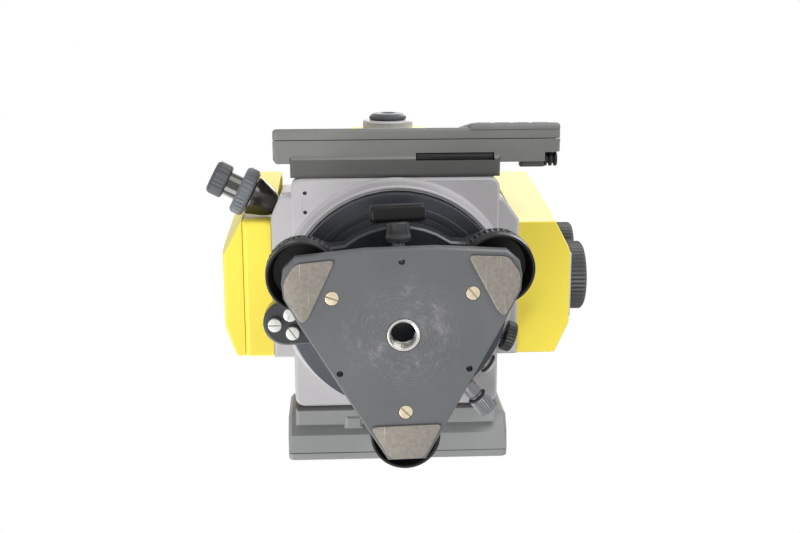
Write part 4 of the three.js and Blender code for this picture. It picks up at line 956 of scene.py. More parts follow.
PLATE_PAINT = Finish("plate_paint", "tribrach_grey", (0.112, 0.116, 0.122), roughness=0.42, metallic=0.25,
                     mottle=0.08, wear=2.0, wear_colour=(0.3, 0.31, 0.32), wear_metallic=0.2,
                     scuff=Scuff.SWIRLS, scuff_colour=(0.245, 0.24, 0.245))
TRIBRACH_PAINT = Finish("tribrach_paint", "tribrach_grey", (0.03, 0.033, 0.037), roughness=0.3, metallic=0.2,
                        coat=0.25, wear=2.5, wear_colour=(0.3, 0.31, 0.32), wear_metallic=0.4)
PAD_METAL = Finish("pad_metal", "pad_metal", (0.235, 0.215, 0.185), roughness=0.46, metallic=0.35,
                   texture=0.06 * MM, texture_scale=1500.0, mottle=0.14, patch_scale=420.0, wear=5.0,
                   wear_colour=(0.56, 0.54, 0.5), wear_metallic=0.3, scuff=Scuff.SCRATCHES,
                   scuff_colour=(0.42, 0.4, 0.36))
BUSH_METAL = Finish("bush_metal", "steel", (0.6, 0.585, 0.56), roughness=0.26, metallic=0.95, mottle=0.08,
                    patch_scale=300.0)
SCREW_METAL = Finish("screw_metal", "brass", (0.6, 0.52, 0.38), roughness=0.42, metallic=0.55, mottle=0.12,
                     patch_scale=500.0, scuff=Scuff.SCRATCHES, scuff_colour=(0.5, 0.42, 0.3))
STEEL = Finish("bright_steel", "steel", (0.7, 0.7, 0.7), roughness=0.25, metallic=0.9, mottle=0.05)
ADJUSTER_METAL = Finish("adjuster_metal", "steel", (0.6, 0.6, 0.58), roughness=0.42, metallic=0.6, mottle=0.1,
                        patch_scale=500.0, scuff=Scuff.SCRATCHES, scuff_colour=(0.4, 0.4, 0.39))
CUP_BLACK = Finish("cup_black", "black_plastic", (0.012, 0.012, 0.013), roughness=0.36, specular=0.3, wear=3.0,
                   wear_colour=(0.16, 0.165, 0.17), wear_metallic=0.2)
LEVER_BLACK = Finish("lever_black", "black_plastic", (0.007, 0.007, 0.008), roughness=0.26, specular=0.25, wear=1.0,
                     wear_colour=(0.08, 0.08, 0.085), wear_metallic=0.0)
COLLAR_BLACK = Finish("collar_black", "black_plastic", (0.04, 0.042, 0.045), roughness=0.35, wear=2.0,
                      wear_colour=(0.2, 0.2, 0.2), wear_metallic=0.2)
DISC_BLACK = Finish("disc_black", "black_paint", (0.05, 0.055, 0.065), roughness=0.34, metallic=0.55,
                    mottle=0.08)
RUBBER = Finish("black_rubber", "black_rubber", (0.012, 0.012, 0.012), roughness=0.6)
CAST_PAINT = Finish("cast_paint", "casting", (0.475, 0.465, 0.475), roughness=0.42, metallic=0.08, mottle=0.03,
                    wear=1.2, wear_colour=(0.6, 0.59, 0.6), wear_metallic=0.1)
PANEL_PLASTIC = Finish("panel_plastic", "panel_grey", (0.185, 0.185, 0.177), roughness=0.46, texture=0.04 * MM,
                       texture_scale=1800.0, mottle=0.05, wear=1.8, wear_colour=(0.38, 0.38, 0.37),
                       wear_metallic=0.0)
# The rear panel's plastic is the panel plastic painted lighter: painted light, standing in for the light that falls
# on the rear panel from below and behind.
REAR_PLASTIC_PAINTED_LIGHT = replace(PANEL_PLASTIC, name="rear_plastic_painted_light", colour=(0.25, 0.255, 0.255), roughness=0.42,
                       wear_colour=(0.45, 0.46, 0.46))
# The neck's plastic is the panel plastic painted darker: painted shade, standing in for the shade under the case's
# overhang.
NECK_PAINTED_SHADE = replace(PANEL_PLASTIC, name="neck_painted_shade", colour=(0.085, 0.085, 0.082), roughness=0.5, wear=0.0)
STRIP_PLASTIC = Finish("strip_plastic", "strip_grey", (0.6, 0.59, 0.59), roughness=0.5)
YELLOW = Finish("cover_yellow", "cover_yellow", (0.92, 0.76, 0.085), roughness=0.38, texture_scale=1200.0,
                mottle=0.02, specular=0.35)
SCOPE_YELLOW = Finish("telescope_yellow", "telescope_yellow", (0.93, 0.78, 0.06), roughness=0.4,
                      texture_scale=1200.0, mottle=0.02, specular=0.3)
KNOB_GREY = Finish("knob_grey", "knob_grey", (0.06, 0.063, 0.07), roughness=0.4, wear=2.5,
                   wear_colour=(0.22, 0.23, 0.24), wear_metallic=0.1)
RING_GREY = Finish("ring_grey", "knob_grey", (0.13, 0.14, 0.155), roughness=0.38, wear=3.0,
                   wear_colour=(0.42, 0.44, 0.48), wear_metallic=0.1)
TIP_GREY = Finish("tip_grey", "knob_grey", (0.2, 0.205, 0.22), roughness=0.36, metallic=0.5, wear=3.0,
                  wear_colour=(0.55, 0.56, 0.58), wear_metallic=0.5)
FOCUS_GREY = Finish("focus_grey", "knob_grey", (0.52, 0.52, 0.52), roughness=0.4, wear=1.0,
                    wear_colour=(0.65, 0.65, 0.65), wear_metallic=0.1)
TUBE_DARK = Finish("tube_dark", "casting", (0.05, 0.046, 0.04), roughness=0.16, metallic=0.45, coat=0.5,
                   mottle=0.12)
BARREL_BLACK = Finish("barrel_black", "knob_grey", (0.025, 0.026, 0.028), roughness=0.36, metallic=0.2,
                      wear=3.0, wear_colour=(0.2, 0.2, 0.21), wear_metallic=0.3)
INSIDE_BLACK = Finish("inside_black", "black_paint", (0.008, 0.008, 0.009), roughness=0.8)
HANDLE_PLASTIC = Finish("handle_plastic", "handle_grey", (0.1, 0.1, 0.105), roughness=0.52, texture=0.1 * MM,
                        texture_scale=1100.0, wear=2.0, wear_colour=(0.2, 0.2, 0.21), wear_metallic=0.0)
GRIP_RUBBER = Finish("grip_rubber", "black_rubber", (0.02, 0.02, 0.021), roughness=0.65, texture=0.08 * MM,
                     texture_scale=900.0)
KEY_RUBBER = Finish("key_rubber", "key_rubber", (0.045, 0.047, 0.05), roughness=0.55)
KEY_LIGHT = Finish("key_light", "key_rubber", (0.3, 0.31, 0.32), roughness=0.5, mottle=0.05)
BEZEL = Finish("display_bezel", "display", (0.012, 0.014, 0.016), roughness=0.1, coat=0.6, texture=0.0)
BOARD = Finish("board_lacquer", "board", (0.03, 0.15, 0.06), roughness=0.3, coat=0.3, mottle=0.2,
               patch_scale=220.0)
CLEAR = Glass("clear_glass")
COATED = Glass("coated_glass", colour=(0.62, 0.74, 0.86))
SCREEN = Crystal()


def dress(thing: bpy.types.Object, body: str, finish: Surface, *nodes: str) -> bpy.types.Object:
    """Give a piece its finish, let it ride on a body and stand for solids of the frame.

    Args:
        thing: The piece.
        body: Body that it moves with.
        finish: What its surface is.
        *nodes: Solids that it replaces.

    Returns:
        The same piece.
    """
    thing.data.materials.clear()
    thing.data.materials.append(finish.material())
    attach(thing, body)
    if nodes:
        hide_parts(*nodes)
    LOG.info("%s rides on %s as %s, %d faces", thing.name, body, finish.name, len(thing.data.polygons))
    return thing


def keep(node: str, finish: Surface) -> None:
    """Show a solid of the frame as it is, with a finish.

    Args:
        node: Name of the solid.
        finish: What its surface is.
    """
    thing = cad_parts[node]
    thing.data.materials.clear()
    thing.data.materials.append(finish.material())
    LOG.info("%s stays as %s", node, finish.name)


def recast(node: str, body: str, finish: Surface, rounding: Rounding) -> bpy.types.Object:
    """Replace a solid of the frame by a copy with rounded edges."""
    return dress(casting(node, node + "_cast", rounding), body, finish, node)


def repaint(thing: bpy.types.Object, finish: Surface, choose: Callable[[Points], Points]) -> None:
    """Give some faces of a dressed piece another finish.

    Args:
        thing: The piece.
        finish: What those faces are.
        choose: Says of the middles of the faces, one row each, which are meant.
    """
    thing.data.materials.append(finish.material())
    chosen = choose(read_vectors(thing.data.polygons, "center"))
    thing.data.polygons.foreach_set("material_index", chosen.astype(np.int32))


def middle_of(node: str) -> Vector:
    """Middle of a solid's box."""
    low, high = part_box(node)
    return (low + high) / 2


@dataclass(frozen=True)
class Axis:
    """A line that turned pieces are set on: a place where the height is 0, and the way the height grows."""

    origin: Place = (0.0, 0.0, 0.0)
    direction: Place = UP

    @classmethod
    def below(cls, place: Vector) -> "Axis":
        """An upright line through a place, whose height is 0 at the foot of the pads."""
        return cls((place.x, place.y, 0.0))

    def piece(self, name: str, profile: Points, sides: int = 96, knurl: Knurl | None = None,
              ends: Ends = Ends.POLES) -> bpy.types.Object:
        """A piece whose profile of radius and height is turned on this line, with ridges where it has a knurl."""
        return Shell().add(along(turned(profile, sides, knurl), self.origin, self.direction), ends).build(name)


@dataclass(frozen=True)
class Turned:
    """A turned piece as one row of a table.

    Its node is the solid that it stands for, or empty. Its profile and softness are in millimetres.
    """

    name: str
    body: str
    finish: Surface
    node: str
    profile: Table
    softness: float
    sides: int
    knurl: Knurl | None = None
    closed: bool = False

    def build(self, axis: Axis) -> None:
        """Round the profile's corners, turn it on its line and dress the piece.

        Args:
            axis: The line, on which the profile's heights are measured.
        """
        profile = softened(millimetres(self.profile), self.softness * MM, closed=self.closed)
        piece = axis.piece(self.name, profile, self.sides, self.knurl, Ends.LOOP if self.closed else Ends.POLES)
        dress(piece, self.body, self.finish, *filter(None, [self.node]))


@dataclass(frozen=True)
class FlutedKnob:
    """A turned knob with ridges along its grip and a dished face, on a plain shaft."""

    radius: float
    length: float
    ridges: int
    shaft_radius: float = 4.0 * MM
    shaft_depth: float = 9.0 * MM
    ridge_depth: float = 0.9 * MM
    sharpness: float = 1.0
    chamfer: float = 1.6 * MM
    back: float = 0.8 * MM
    rim: float = 1.8 * MM
    dish: float = 0.8 * MM
    softness: float = 0.6 * MM
    rim_share: float = 0.4
    grip_shares: Span = (0.5, 0.35)
    points_a_ridge: int = 8

    def build(self, name: str, axis: Axis) -> bpy.types.Object:
        """The knob on its axis: shaft, back, ridged grip, chamfer, flat rim and dish, as one profile.

        Args:
            name: Name of the knob.
            axis: Its line, with height 0 at its back.

        Returns:
            The knob.
        """
        flat = self.radius - self.ridge_depth - self.chamfer
        profile = np.array([
            [0.0, -self.shaft_depth], [self.shaft_radius, -self.shaft_depth], [self.shaft_radius, 0.0],
            [self.radius - self.back, 0.0], [self.radius, self.back], [self.radius, self.length - self.chamfer],
            [flat + self.chamfer * self.rim_share, self.length], [flat - self.rim, self.length],
            [flat - self.rim - self.dish, self.length - self.dish], [0.0, self.length - self.dish],
        ])
        low, high = self.back * self.grip_shares[0], self.length - self.chamfer * self.grip_shares[1]
        knurl = Knurl(self.ridges, self.ridge_depth, low, high, self.sharpness, self.radius - self.chamfer)
        return axis.piece(name, softened(profile, self.softness), self.ridges * self.points_a_ridge, knurl)


@dataclass
class Tribrach:
    """Base plate, foot screws, body, lock knob and level."""

    body: str = "base"
    yaw_degrees: float = -1.4
    plate_rounding: Rounding = Rounding(0.3 * MM, 0.6 * MM, sharp_degrees=40.0)
    body_rounding: Rounding = Rounding(0.6 * MM, 0.9 * MM)
    plate_reach: float = 69.7 * MM
    pad_height: float = 1.2 * MM
    pad_corner: float = 3.5 * MM
    pad_rim: float = 0.4 * MM
    side_pad: Table = ((0.494, -0.604), (0.798, -0.583), (0.888, -0.445), (0.882, -0.329), (0.768, -0.123),
                       (0.716, -0.158))
    rear_pad: Table = ((0.278, 0.717), (0.133, 0.984), (-0.133, 0.984), (-0.278, 0.717))
    bush_outside: Table = ((7.5, 13.0), (12.0, 13.0), (12.0, 11.5), (8.75, 11.5), (8.75, 1.5), (7.7, 1.5))
    bush_softness: float = 0.35 * MM
    thread_pitch: float = 2.309 * MM
    thread_depth: float = 0.7 * MM
    thread_core: float = 6.75 * MM
    thread_ends: Span = (2.1 * MM, 12.7 * MM)
    thread_rows: int = 90
    thread_sides: int = 72
    screw_profile: Table = ((0.0, 1.5), (3.75, 1.5), (3.75, 3.5), (2.0, 3.5), (2.0, 11.8), (0.0, 11.8))
    screw_softness: Table = ((0.0, 0.5, 0.2, 0.0, 0.2, 0.0),)
    screw_steps: int = 4
    screw_sides: int = 48
    slot_width: float = 0.9 * MM
    slot_overlap: float = 1.0 * MM
    slot_rise: float = 1.1
    slot_degrees: tuple[float, ...] = (20.0, 50.0, 45.0)
    ball: float = 4.0 * MM
    ball_rows: int = 9
    ball_top_angle: float = 0.8
    cup_profile: Table = ((2.8, 9.9), (2.8, 13.2), (6.5, 13.2), (6.5, 27.0), (16.0, 27.0), (17.6, 14.2),
                          (19.2, 14.2), (19.3, 21.0), (19.8, 22.2), (19.8, 31.0), (17.8, 32.2), (5.0, 32.2))
    cup_softness: float = 0.6 * MM
    cup_sides: int = 240
    cup_ridges: Knurl = Knurl(40, 1.1 * MM, 22.0 * MM, 31.3 * MM, 0.7, 18.6 * MM)
    stem: float = 5.0 * MM
    stem_pitch: float = 1.0 * MM
    stem_groove: float = 0.35 * MM
    stem_chamfer: float = 0.8 * MM
    lock_height: float = 37.0 * MM
    lock_turned: tuple[Turned, ...] = (
        Turned("lock_shaft", "lock_knob", STEEL, "tribrach_lock_knob",
               ((0.0, 22.0), (3.7, 22.0), (3.7, 43.4), (0.0, 43.4)), 0.3, 48),
        Turned("lock_collar", "lock_knob", COLLAR_BLACK, "tribrach_lock_knob",
               ((0.0, 43.0), (5.9, 43.0), (6.9, 43.6), (7.3, 45.6), (6.7, 48.0), (6.5, 54.8), (0.0, 54.8)), 1.0, 64),
    )
    lock_bar: Table = ((-15.3, -4.3), (0.0, -3.9), (15.3, -4.3), (15.3, 4.3), (0.0, 3.9), (-15.3, 4.3))
    lock_bar_ends: Span = (54.0 * MM, 64.0 * MM)
    lock_bar_corner: float = 2.8 * MM
    lock_bar_rim: float = 2.6 * MM
    lock_bar_steps: int = 7
    level_well: float = 8.3 * MM
    level_floor: float = 2.9 * MM
    level_softness: Table = ((0.0, 0.8, 1.2, 0.4, 0.0, 0.0),)
    level_sides: int = 72
    adjuster_head: float = 3.2 * MM
    adjuster_shank: float = 1.6 * MM
    adjuster_slot: float = 0.8 * MM
    adjuster_degrees: tuple[float, ...] = (180.0, 55.0, -65.0)

    def build(self) -> None:
        """Make every piece of the tribrach."""
        recast("base_plate", self.body, PLATE_PAINT, self.plate_rounding)
        self.pads()
        self.bush()
        self.plate_screws()
        keep("spring_plate", STEEL)
        self.foot_screws()
        recast("tribrach_body", self.body, TRIBRACH_PAINT, self.body_rounding)
        self.lock_knob()
        self.level()

    def pads(self) -> None:
        """The three bare metal faces that rest on the tripod head, as prisms with rounded corners."""
        right = np.array(self.side_pad)
        left = right[::-1] * np.array([-1.0, 1.0])
        for number, shares in enumerate((left, right, np.array(self.rear_pad)), start=1):
            outline = softened(swung(shares * self.plate_reach, self.yaw_degrees), self.pad_corner, closed=True)
            pad = Shell().add(prism(outline, 0.0, self.pad_height, self.pad_rim)).build(f"pad_face_{number}")
            dress(pad, self.body, PAD_METAL, f"base_pad_{number}")

    def bush(self) -> None:
        """Threaded bush: the inner radius runs out and in once a pitch as a helix, r = R + depth |saw|.

        The saw is the height over the pitch less the turn over a full turn, folded to a triangle.
        """
        heights = np.linspace(*self.thread_ends, self.thread_rows)[:, None]
        turn = np.linspace(0.0, FULL_TURN, self.thread_sides, endpoint=False)[None, :]
        phase = (heights / self.thread_pitch - turn / FULL_TURN) % 1.0
        radius = self.thread_core + self.thread_depth * (1.0 - np.abs(2.0 * phase - 1.0))
        threads = np.stack([radius * np.cos(turn), radius * np.sin(turn), heights + 0.0 * turn], axis=-1)
        outside = turned(softened(millimetres(self.bush_outside), self.bush_softness), self.thread_sides)
        ring = Shell().add(np.concatenate([threads, outside]), Ends.LOOP).build("threaded_bush")
        dress(ring, self.body, BUSH_METAL, "tripod_thread_bush")

    def slotted_screw(self, name: str, centre: Vector, profile: Points, slot: float,
                      degrees: float) -> bpy.types.Object:
        """A cheese-head screw that faces down, with a slot across its head.

        Args:
            name: Name of the piece.
            centre: A point on its axis.
            profile: Radius and height from the middle of its face to the end of its shank.
            slot: Width of the slot, which is slot_rise times as deep.
            degrees: Direction of the slot.

        Returns:
            The screw.
        """
        rounded = softened(profile, millimetres(self.screw_softness)[0], self.screw_steps)
        screw = Axis.below(centre).piece(name, rounded, self.screw_sides)
        face = profile[0, 1]
        reach = profile[1, 0] + self.slot_overlap
        bar = np.array([[-reach, -slot / 2], [reach, -slot / 2], [reach, slot / 2], [-reach, slot / 2]])
        outline = swung(bar, degrees) + np.array([centre.x, centre.y])
        tool = np.stack([with_height(outline, face - slot), with_height(outline, face + self.slot_rise * slot)])
        carve(screw, Shell().add(tool))
        return screw

    def plate_screws(self) -> None:
        """Three slotted screws that hold the spring plate."""
        for number, degrees in enumerate(self.slot_degrees, start=1):
            node = f"plate_screw_{number}"
            screw = self.slotted_screw(f"slotted_screw_{number}", middle_of(node), millimetres(self.screw_profile),
                                       self.slot_width, degrees)
            dress(screw, self.body, SCREW_METAL, node)

    def foot_screws(self) -> None:
        """Cup-shaped knobs with a ball below, a ridged grip and a threaded stem above.

        The ball's point at angle a is (b cos a, z + b + b sin a), and the stem's radius changes between its
        crest and its groove every half pitch.
        """
        for number in (1, 2, 3):
            node = f"foot_screw_{number}"
            low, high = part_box(node)
            angle = np.linspace(-math.pi / 2, self.ball_top_angle, self.ball_rows)
            radii = np.maximum(self.ball * np.cos(angle), 0.0)
            radii[0] = 0.0
            ball = np.stack([radii, low.z + self.ball * (1.0 + np.sin(angle))], axis=-1)
            cup = softened(millimetres(self.cup_profile), self.cup_softness)
            steps = np.arange(int((high.z - cup[-1, 1] - self.stem_pitch) / self.stem_pitch) * 2)
            radii = self.stem - self.stem_groove * (steps % 2)
            heights = cup[-1, 1] + (steps + 1) * self.stem_pitch / 2
            top = np.array([[self.stem - self.stem_chamfer, high.z], [0.0, high.z]])
            profile = np.concatenate([ball, cup, np.stack([radii, heights], axis=-1), top])
            axis = Axis.below(middle_of(node))
            screw = axis.piece(f"foot_knob_{number}", profile, self.cup_sides, self.cup_ridges)
            dress(screw, node, CUP_BLACK, node)

    def lock_knob(self) -> None:
        """T-shaped knob: a bright shaft, a turned collar, and a rounded bar across the end."""
        angle = math.radians(self.yaw_degrees)
        axis = Axis((0.0, 0.0, self.lock_height), (math.sin(angle), -math.cos(angle), 0.0))
        for row in self.lock_turned:
            row.build(axis)
        outline = softened(millimetres(self.lock_bar), self.lock_bar_corner, closed=True)
        grid = prism(outline, *self.lock_bar_ends, self.lock_bar_rim, self.lock_bar_steps)
        bar = Shell().add(along(grid, axis.origin, axis.direction)).build("lock_bar")
        dress(bar, "lock_knob", LEVER_BLACK, "tribrach_lock_knob")

    def level(self) -> None:
        """Circular level: a cell with a well for its glass, and three adjusting screws below."""
        low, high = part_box("level_cell")
        outer = (high.x - low.x) / 2
        floor = high.z - self.level_floor
        profile = np.array([[0.0, low.z], [outer, low.z], [outer, high.z], [self.level_well, high.z],
                            [self.level_well, floor], [0.0, floor]])
        rounded = softened(profile, millimetres(self.level_softness)[0])
        cell = Axis.below(middle_of("level_cell")).piece("level_housing", rounded, self.level_sides)
        dress(cell, self.body, DISC_BLACK, "level_cell")
        keep("level_glass", CLEAR)
        for number, degrees in enumerate(self.adjuster_degrees, start=1):
            node = f"level_screw_{number}"
            low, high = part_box(node)
            head = (high.x - low.x) / 2
            seat = low.z + self.adjuster_head
            profile = np.array([[0.0, low.z], [head, low.z], [head, seat], [self.adjuster_shank, seat],
                                [self.adjuster_shank, high.z], [0.0, high.z]])
            screw = self.slotted_screw(f"level_adjuster_{number}", middle_of(node), profile, self.adjuster_slot,
                                       degrees)
            dress(screw, self.body, ADJUSTER_METAL, node)


@dataclass
class VerticalAxis:
    """Base disc, sleeve, horizontal circle and spindle."""

    groove_radius: float = 52.5 * MM
    groove_depth: float = 0.15 * MM
    groove_width: float = 0.4 * MM
    bore: float = 18.3 * MM
    seat: float = 46.0 * MM
    step_radius: float = 57.0 * MM
    step_low: float = 67.2 * MM
    face: float = 68.0 * MM
    softness: float = 0.2 * MM
    steps: int = 3
    sides: int = 192

    def build(self) -> None:
        """Make the pieces round the vertical axis."""
        self.disc()
        keep("axis_sleeve", STEEL)
        keep("horizontal_circle", CLEAR)
        keep("vertical_spindle", STEEL)

    def disc(self) -> None:
        """Base disc with a step and a fine turned groove in its lower face, as a closed profile."""
        low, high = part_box("base_disc")
        radius = (high.x - low.x) / 2
        inner, outer = (self.groove_radius + half for half in (-self.groove_width / 2, self.groove_width / 2))
        deep = self.step_low + self.groove_depth
        corners = np.array([
            [self.bore, high.z], [self.bore, low.z], [self.seat, low.z], [self.seat, self.step_low],
            [inner, self.step_low], [inner, deep], [outer, deep], [outer, self.step_low],
            [self.step_radius, self.step_low], [self.step_radius, self.face], [radius, self.face], [radius, high.z],
        ])
        profile = softened(corners, self.softness, self.steps, closed=True)
        disc = Axis().piece("base_ring", profile, self.sides, ends=Ends.LOOP)
        dress(disc, "base", DISC_BLACK, "base_disc")


@dataclass
class Alidade:
    """Casting with its boss ring, and the board behind the right cover."""

    rounding: Rounding = Rounding(0.8 * MM, 1.8 * MM)
    bead: Turned = Turned("boss_bead", "alidade", CAST_PAINT, "", (
        (64.7, 85.0), (64.7, 79.0), (65.4, 77.5), (67.0, 77.5), (67.7, 79.0), (67.8, 83.0), (68.6, 87.0),
        (70.4, 89.5), (70.4, 90.4), (66.0, 90.4)), 1.0, 192, closed=True)

    def build(self) -> None:
        """Make the casting and what is fixed inside it."""
        recast("alidade_body", "alidade", CAST_PAINT, self.rounding)
        self.bead.build(Axis())
        keep("main_board", BOARD)


@dataclass(frozen=True)
class PanelFace:
    """A leaning face of a panel: up runs along it from its foot, and out runs away from it."""

    depth: float
    side: float
    foot: float = 92.0 * MM
    lean_degrees: float = 8.0

    def place(self, grid: Points) -> Points:
        """Carry points into the frame.

        y is the face's depth plus its side times (out cos a - up sin a), and z is the foot plus
        out sin a + up cos a.

        Args:
            grid: Points of x, up and out.

        Returns:
            The points of x, y and z.
        """
        lean = math.radians(self.lean_degrees)
        across, up, out = grid[..., 0], grid[..., 1], grid[..., 2]
        depth = self.depth + self.side * (out * math.cos(lean) - up * math.sin(lean))
        height = self.foot + out * math.sin(lean) + up * math.cos(lean)
        return np.stack([across, depth, height], axis=-1)

    @property
    def outwards(self) -> Place:
        """Direction from the panel out through the face."""
        lean = math.radians(self.lean_degrees)
        return 0.0, self.side * math.cos(lean), math.sin(lean)


@dataclass
class Panel:
    """One of the two panels: case, lid, display, keys and power key."""

    name: str
    face: PanelFace
    key_face: PanelFace
    display: Span
    keys: Span
    key_columns: int
    power_x: float
    finish: Surface
    neck_depth: float
    lid_sides: Span
    lid_ups: tuple[Span, Span]
    raised_from: float | None = None
    body: str = "alidade"
    case_rims: Span = (0.5 * MM, 2.2 * MM)
    end_chamfer: float = 4.0 * MM
    lid_thickness: float = 6.6 * MM
    lid_rims: Span = (0.4 * MM, 2.2 * MM)
    lid_rim_rows: int = 7
    lid_corner: float = 2.6 * MM
    raised_root: float = 4.0 * MM
    display_ups: Span = (18.0 * MM, 58.0 * MM)
    bezel: float = 5.0 * MM
    bezel_edges: Span = (1.0 * MM, 0.15 * MM)
    crystal_rise: float = 1.6
    crystal_edges: Span = (0.6 * MM, 0.03 * MM)
    key_ups: Span = (8.0 * MM, 44.0 * MM)
    key_rows: int = 4
    key_gap: float = 2.0 * MM
    key_rise: float = 0.55 * MM
    key_edges: Span = (1.6 * MM, 0.45 * MM)
    mat_edges: Span = (1.2 * MM, 0.2 * MM)
    recess: float = 1.2 * MM
    proud: float = 0.12 * MM
    power_up: float = 54.0 * MM
    power_bore: Table = ((0.0, -4.9), (4.3, -4.9), (4.3, 1.0), (0.0, 1.0))
    power_bore_sides: int = 48
    power_profile: Table = ((0.0, -3.4), (4.0, -3.4), (4.0, 0.9), (3.3, 1.6), (2.5, 1.6), (1.9, 1.2), (0.0, 1.1))
    power_softness: float = 0.35 * MM
    power_sides: int = 64

    def build(self) -> None:
        """Make every piece of the panel."""
        seams = (self.face.outwards, (0.0, -self.face.side, 0.0))
        rounding = Rounding(*self.case_rims, seams, squared=self.end_chamfer)
        case = recast(f"{self.name}_case", self.body, self.finish, rounding)
        # Faces of the neck get the darker finish, a painted shade for the shade that falls under the case's
        # overhang.
        repaint(case, NECK_PAINTED_SHADE, lambda centres: centres[:, 1] * self.face.side < self.neck_depth)
        self.lid()
        self.screen()
        self.keypad()
        self.power_key()

    def lid(self) -> None:
        """Lid with a sloping upper edge, the raised key field where there is one, and the power key's bore."""
        node = f"{self.name}_lid"
        pieces = [(node + "_shell", self.lid_sides[0], -self.lid_thickness, self.lid_ups[0], self.face)]
        if self.raised_from is not None:
            pieces.append((node + "_raised", self.raised_from, -self.raised_root, self.lid_ups[1], self.key_face))
        bore = self.on_power_axis(turned(millimetres(self.power_bore), self.power_bore_sides))
        for name, left, low, seam_ups, face in pieces:
            grid = self.loft((left, self.lid_sides[1]), seam_ups, self.lid_ups[1], low)
            thing = Shell().add(face.place(grid)).build(name)
            carve(thing, Shell().add(bore, Ends.POLES))
            dress(thing, self.body, self.finish, node)

    def loft(self, sides: Span, seam_ups: Span, face_ups: Span, low: float) -> Points:
        """Grid between an outline at the seam and one at the face, whose rims are rounded.

        At angle a of a rim's quarter circle the outline is inset by rim (1 - sin a) at rim (1 - cos a) from its
        end. Between the ends the lower and the upper edge go straight from one outline to the other.

        Args:
            sides: Left and right end.
            seam_ups: Lower and upper edge at the seam.
            face_ups: Lower and upper edge at the face.
            low: Height of the seam, below 0, where the face is at 0.

        Returns:
            A grid of points of x, up and out, rows from the seam to the face.
        """
        angle = np.linspace(0.0, math.pi / 2, self.lid_rim_rows)
        inwards, rises = 1.0 - np.sin(angle), 1.0 - np.cos(angle)
        seam_rim, face_rim = self.lid_rims
        insets = np.concatenate([seam_rim * inwards, (face_rim * inwards)[::-1]])
        heights = np.concatenate([low + seam_rim * rises, (-face_rim * rises)[::-1]])
        share = 1.0 - heights / low
        rows = []
        for gap, height, part in zip(insets, heights, share):
            lower, upper = (a + (b - a) * part for a, b in zip(seam_ups, face_ups))
            outline = rectangle(sides[0] + gap, sides[1] - gap, lower + gap, upper - gap, self.lid_corner)
            rows.append(with_height(outline, height))
        return np.stack(rows)

    def screen(self) -> None:
        """Glossy black bezel with the crystal field a hair above it."""
        node = f"{self.name}_display_glass"
        plates = (("bezel", 0.0, self.bezel_edges, self.proud, BEZEL),
                  ("crystal", self.bezel, self.crystal_edges, self.crystal_rise * self.proud, SCREEN))
        for name, margin, (corner, rim), top, finish in plates:
            sides, ups = ((low + margin, high - margin) for low, high in (self.display, self.display_ups))
            grid = self.face.place(slab(sides, ups, corner, (-self.recess, top), rim))
            dress(Shell().add(grid).build(f"{self.name}_{name}"), self.body, finish, node)

    def keypad(self) -> None:
        """Soft mat with rows of raised rounded keys, of which the lowest row is light."""
        node = f"{self.name}_keypad"
        corner, rim = self.mat_edges
        mat = self.key_face.place(slab(self.keys, self.key_ups, corner, (-self.recess, self.proud), rim))
        dress(Shell().add(mat).build(f"{self.name}_mat"), self.body, KEY_RUBBER, node)
        dark, light = Shell(), Shell()
        lines_x = np.linspace(*self.keys, self.key_columns + 1)
        lines_up = np.linspace(*self.key_ups, self.key_rows + 1)
        gap = self.key_gap / 2
        corner, rim = self.key_edges
        for row in range(self.key_rows):
            ups = (lines_up[row] + gap, lines_up[row + 1] - gap)
            for column in range(self.key_columns):
                sides = (lines_x[column] + gap, lines_x[column + 1] - gap)
                key = self.key_face.place(slab(sides, ups, corner, (-self.recess, self.key_rise), rim))
                (dark if row else light).add(key)
        dress(dark.build(f"{self.name}_keys"), self.body, KEY_RUBBER, node)
        dress(light.build(f"{self.name}_soft_keys"), self.body, KEY_LIGHT, node)

    def on_power_axis(self, grid: Points) -> Points:
        """Carry a turned grid from the origin to the middle of the power key."""
        return self.key_face.place(grid + np.array([self.power_x, self.power_up, 0.0]))

    def power_key(self) -> None:
        """Round dished key that moves on its own."""
        profile = softened(millimetres(self.power_profile), self.power_softness)
        grid = self.on_power_axis(turned(profile, self.power_sides))
        key = Shell().add(grid, Ends.POLES).build(f"{self.name}_power_cap")
        dress(key, f"{self.name}_power", KEY_LIGHT, f"{self.name}_power_key")


@dataclass
class Ports:
    """Slot cover and connector cap of the wide panel."""

    slot_sides: Span = (12.3 * MM, 57.7 * MM)
    slot_depths: Span = (-83.9 * MM, -80.1 * MM)
    slot_heights: Span = (92.8 * MM, 95.7 * MM)
    slot_edges: Span = (0.8 * MM, 0.5 * MM)
    ridge_sides: Span = (21.0 * MM, 56.6 * MM)
    ridge_depths: Span = (-82.9 * MM, -81.3 * MM)
    ridge_low: float = 92.15 * MM
    ridge_root: float = 1.0 * MM
    ridge_edges: Span = (0.7 * MM, 0.4 * MM)
    cap_line: Axis = Axis((0.0, -79.2 * MM, 99.0 * MM), RIGHT)
    cap: Turned = Turned("ribbed_cap", "connector_cap", RUBBER, "connector_cap", (
        (0.0, 83.3), (1.3, 83.3), (1.3, 88.3), (4.2, 88.3), (4.2, 89.9), (2.6, 89.9), (2.6, 91.3), (4.2, 91.3),
        (4.2, 92.9), (2.6, 92.9), (2.6, 94.3), (4.2, 94.3), (4.2, 95.9), (0.0, 95.9)), 0.35, 64)

    def build(self) -> None:
        """Make both covers."""
        corner, rim = self.slot_edges
        shell = Shell().add(slab(self.slot_sides, self.slot_depths, corner, self.slot_heights, rim))
        corner, rim = self.ridge_edges
        heights = (self.ridge_low, self.slot_heights[0] + self.ridge_root)
        shell.add(slab(self.ridge_sides, self.ridge_depths, corner, heights, rim))
        dress(shell.build("slot_flap"), "slot_cover", RUBBER, "card_slot_cover")
        self.cap.build(self.cap_line)


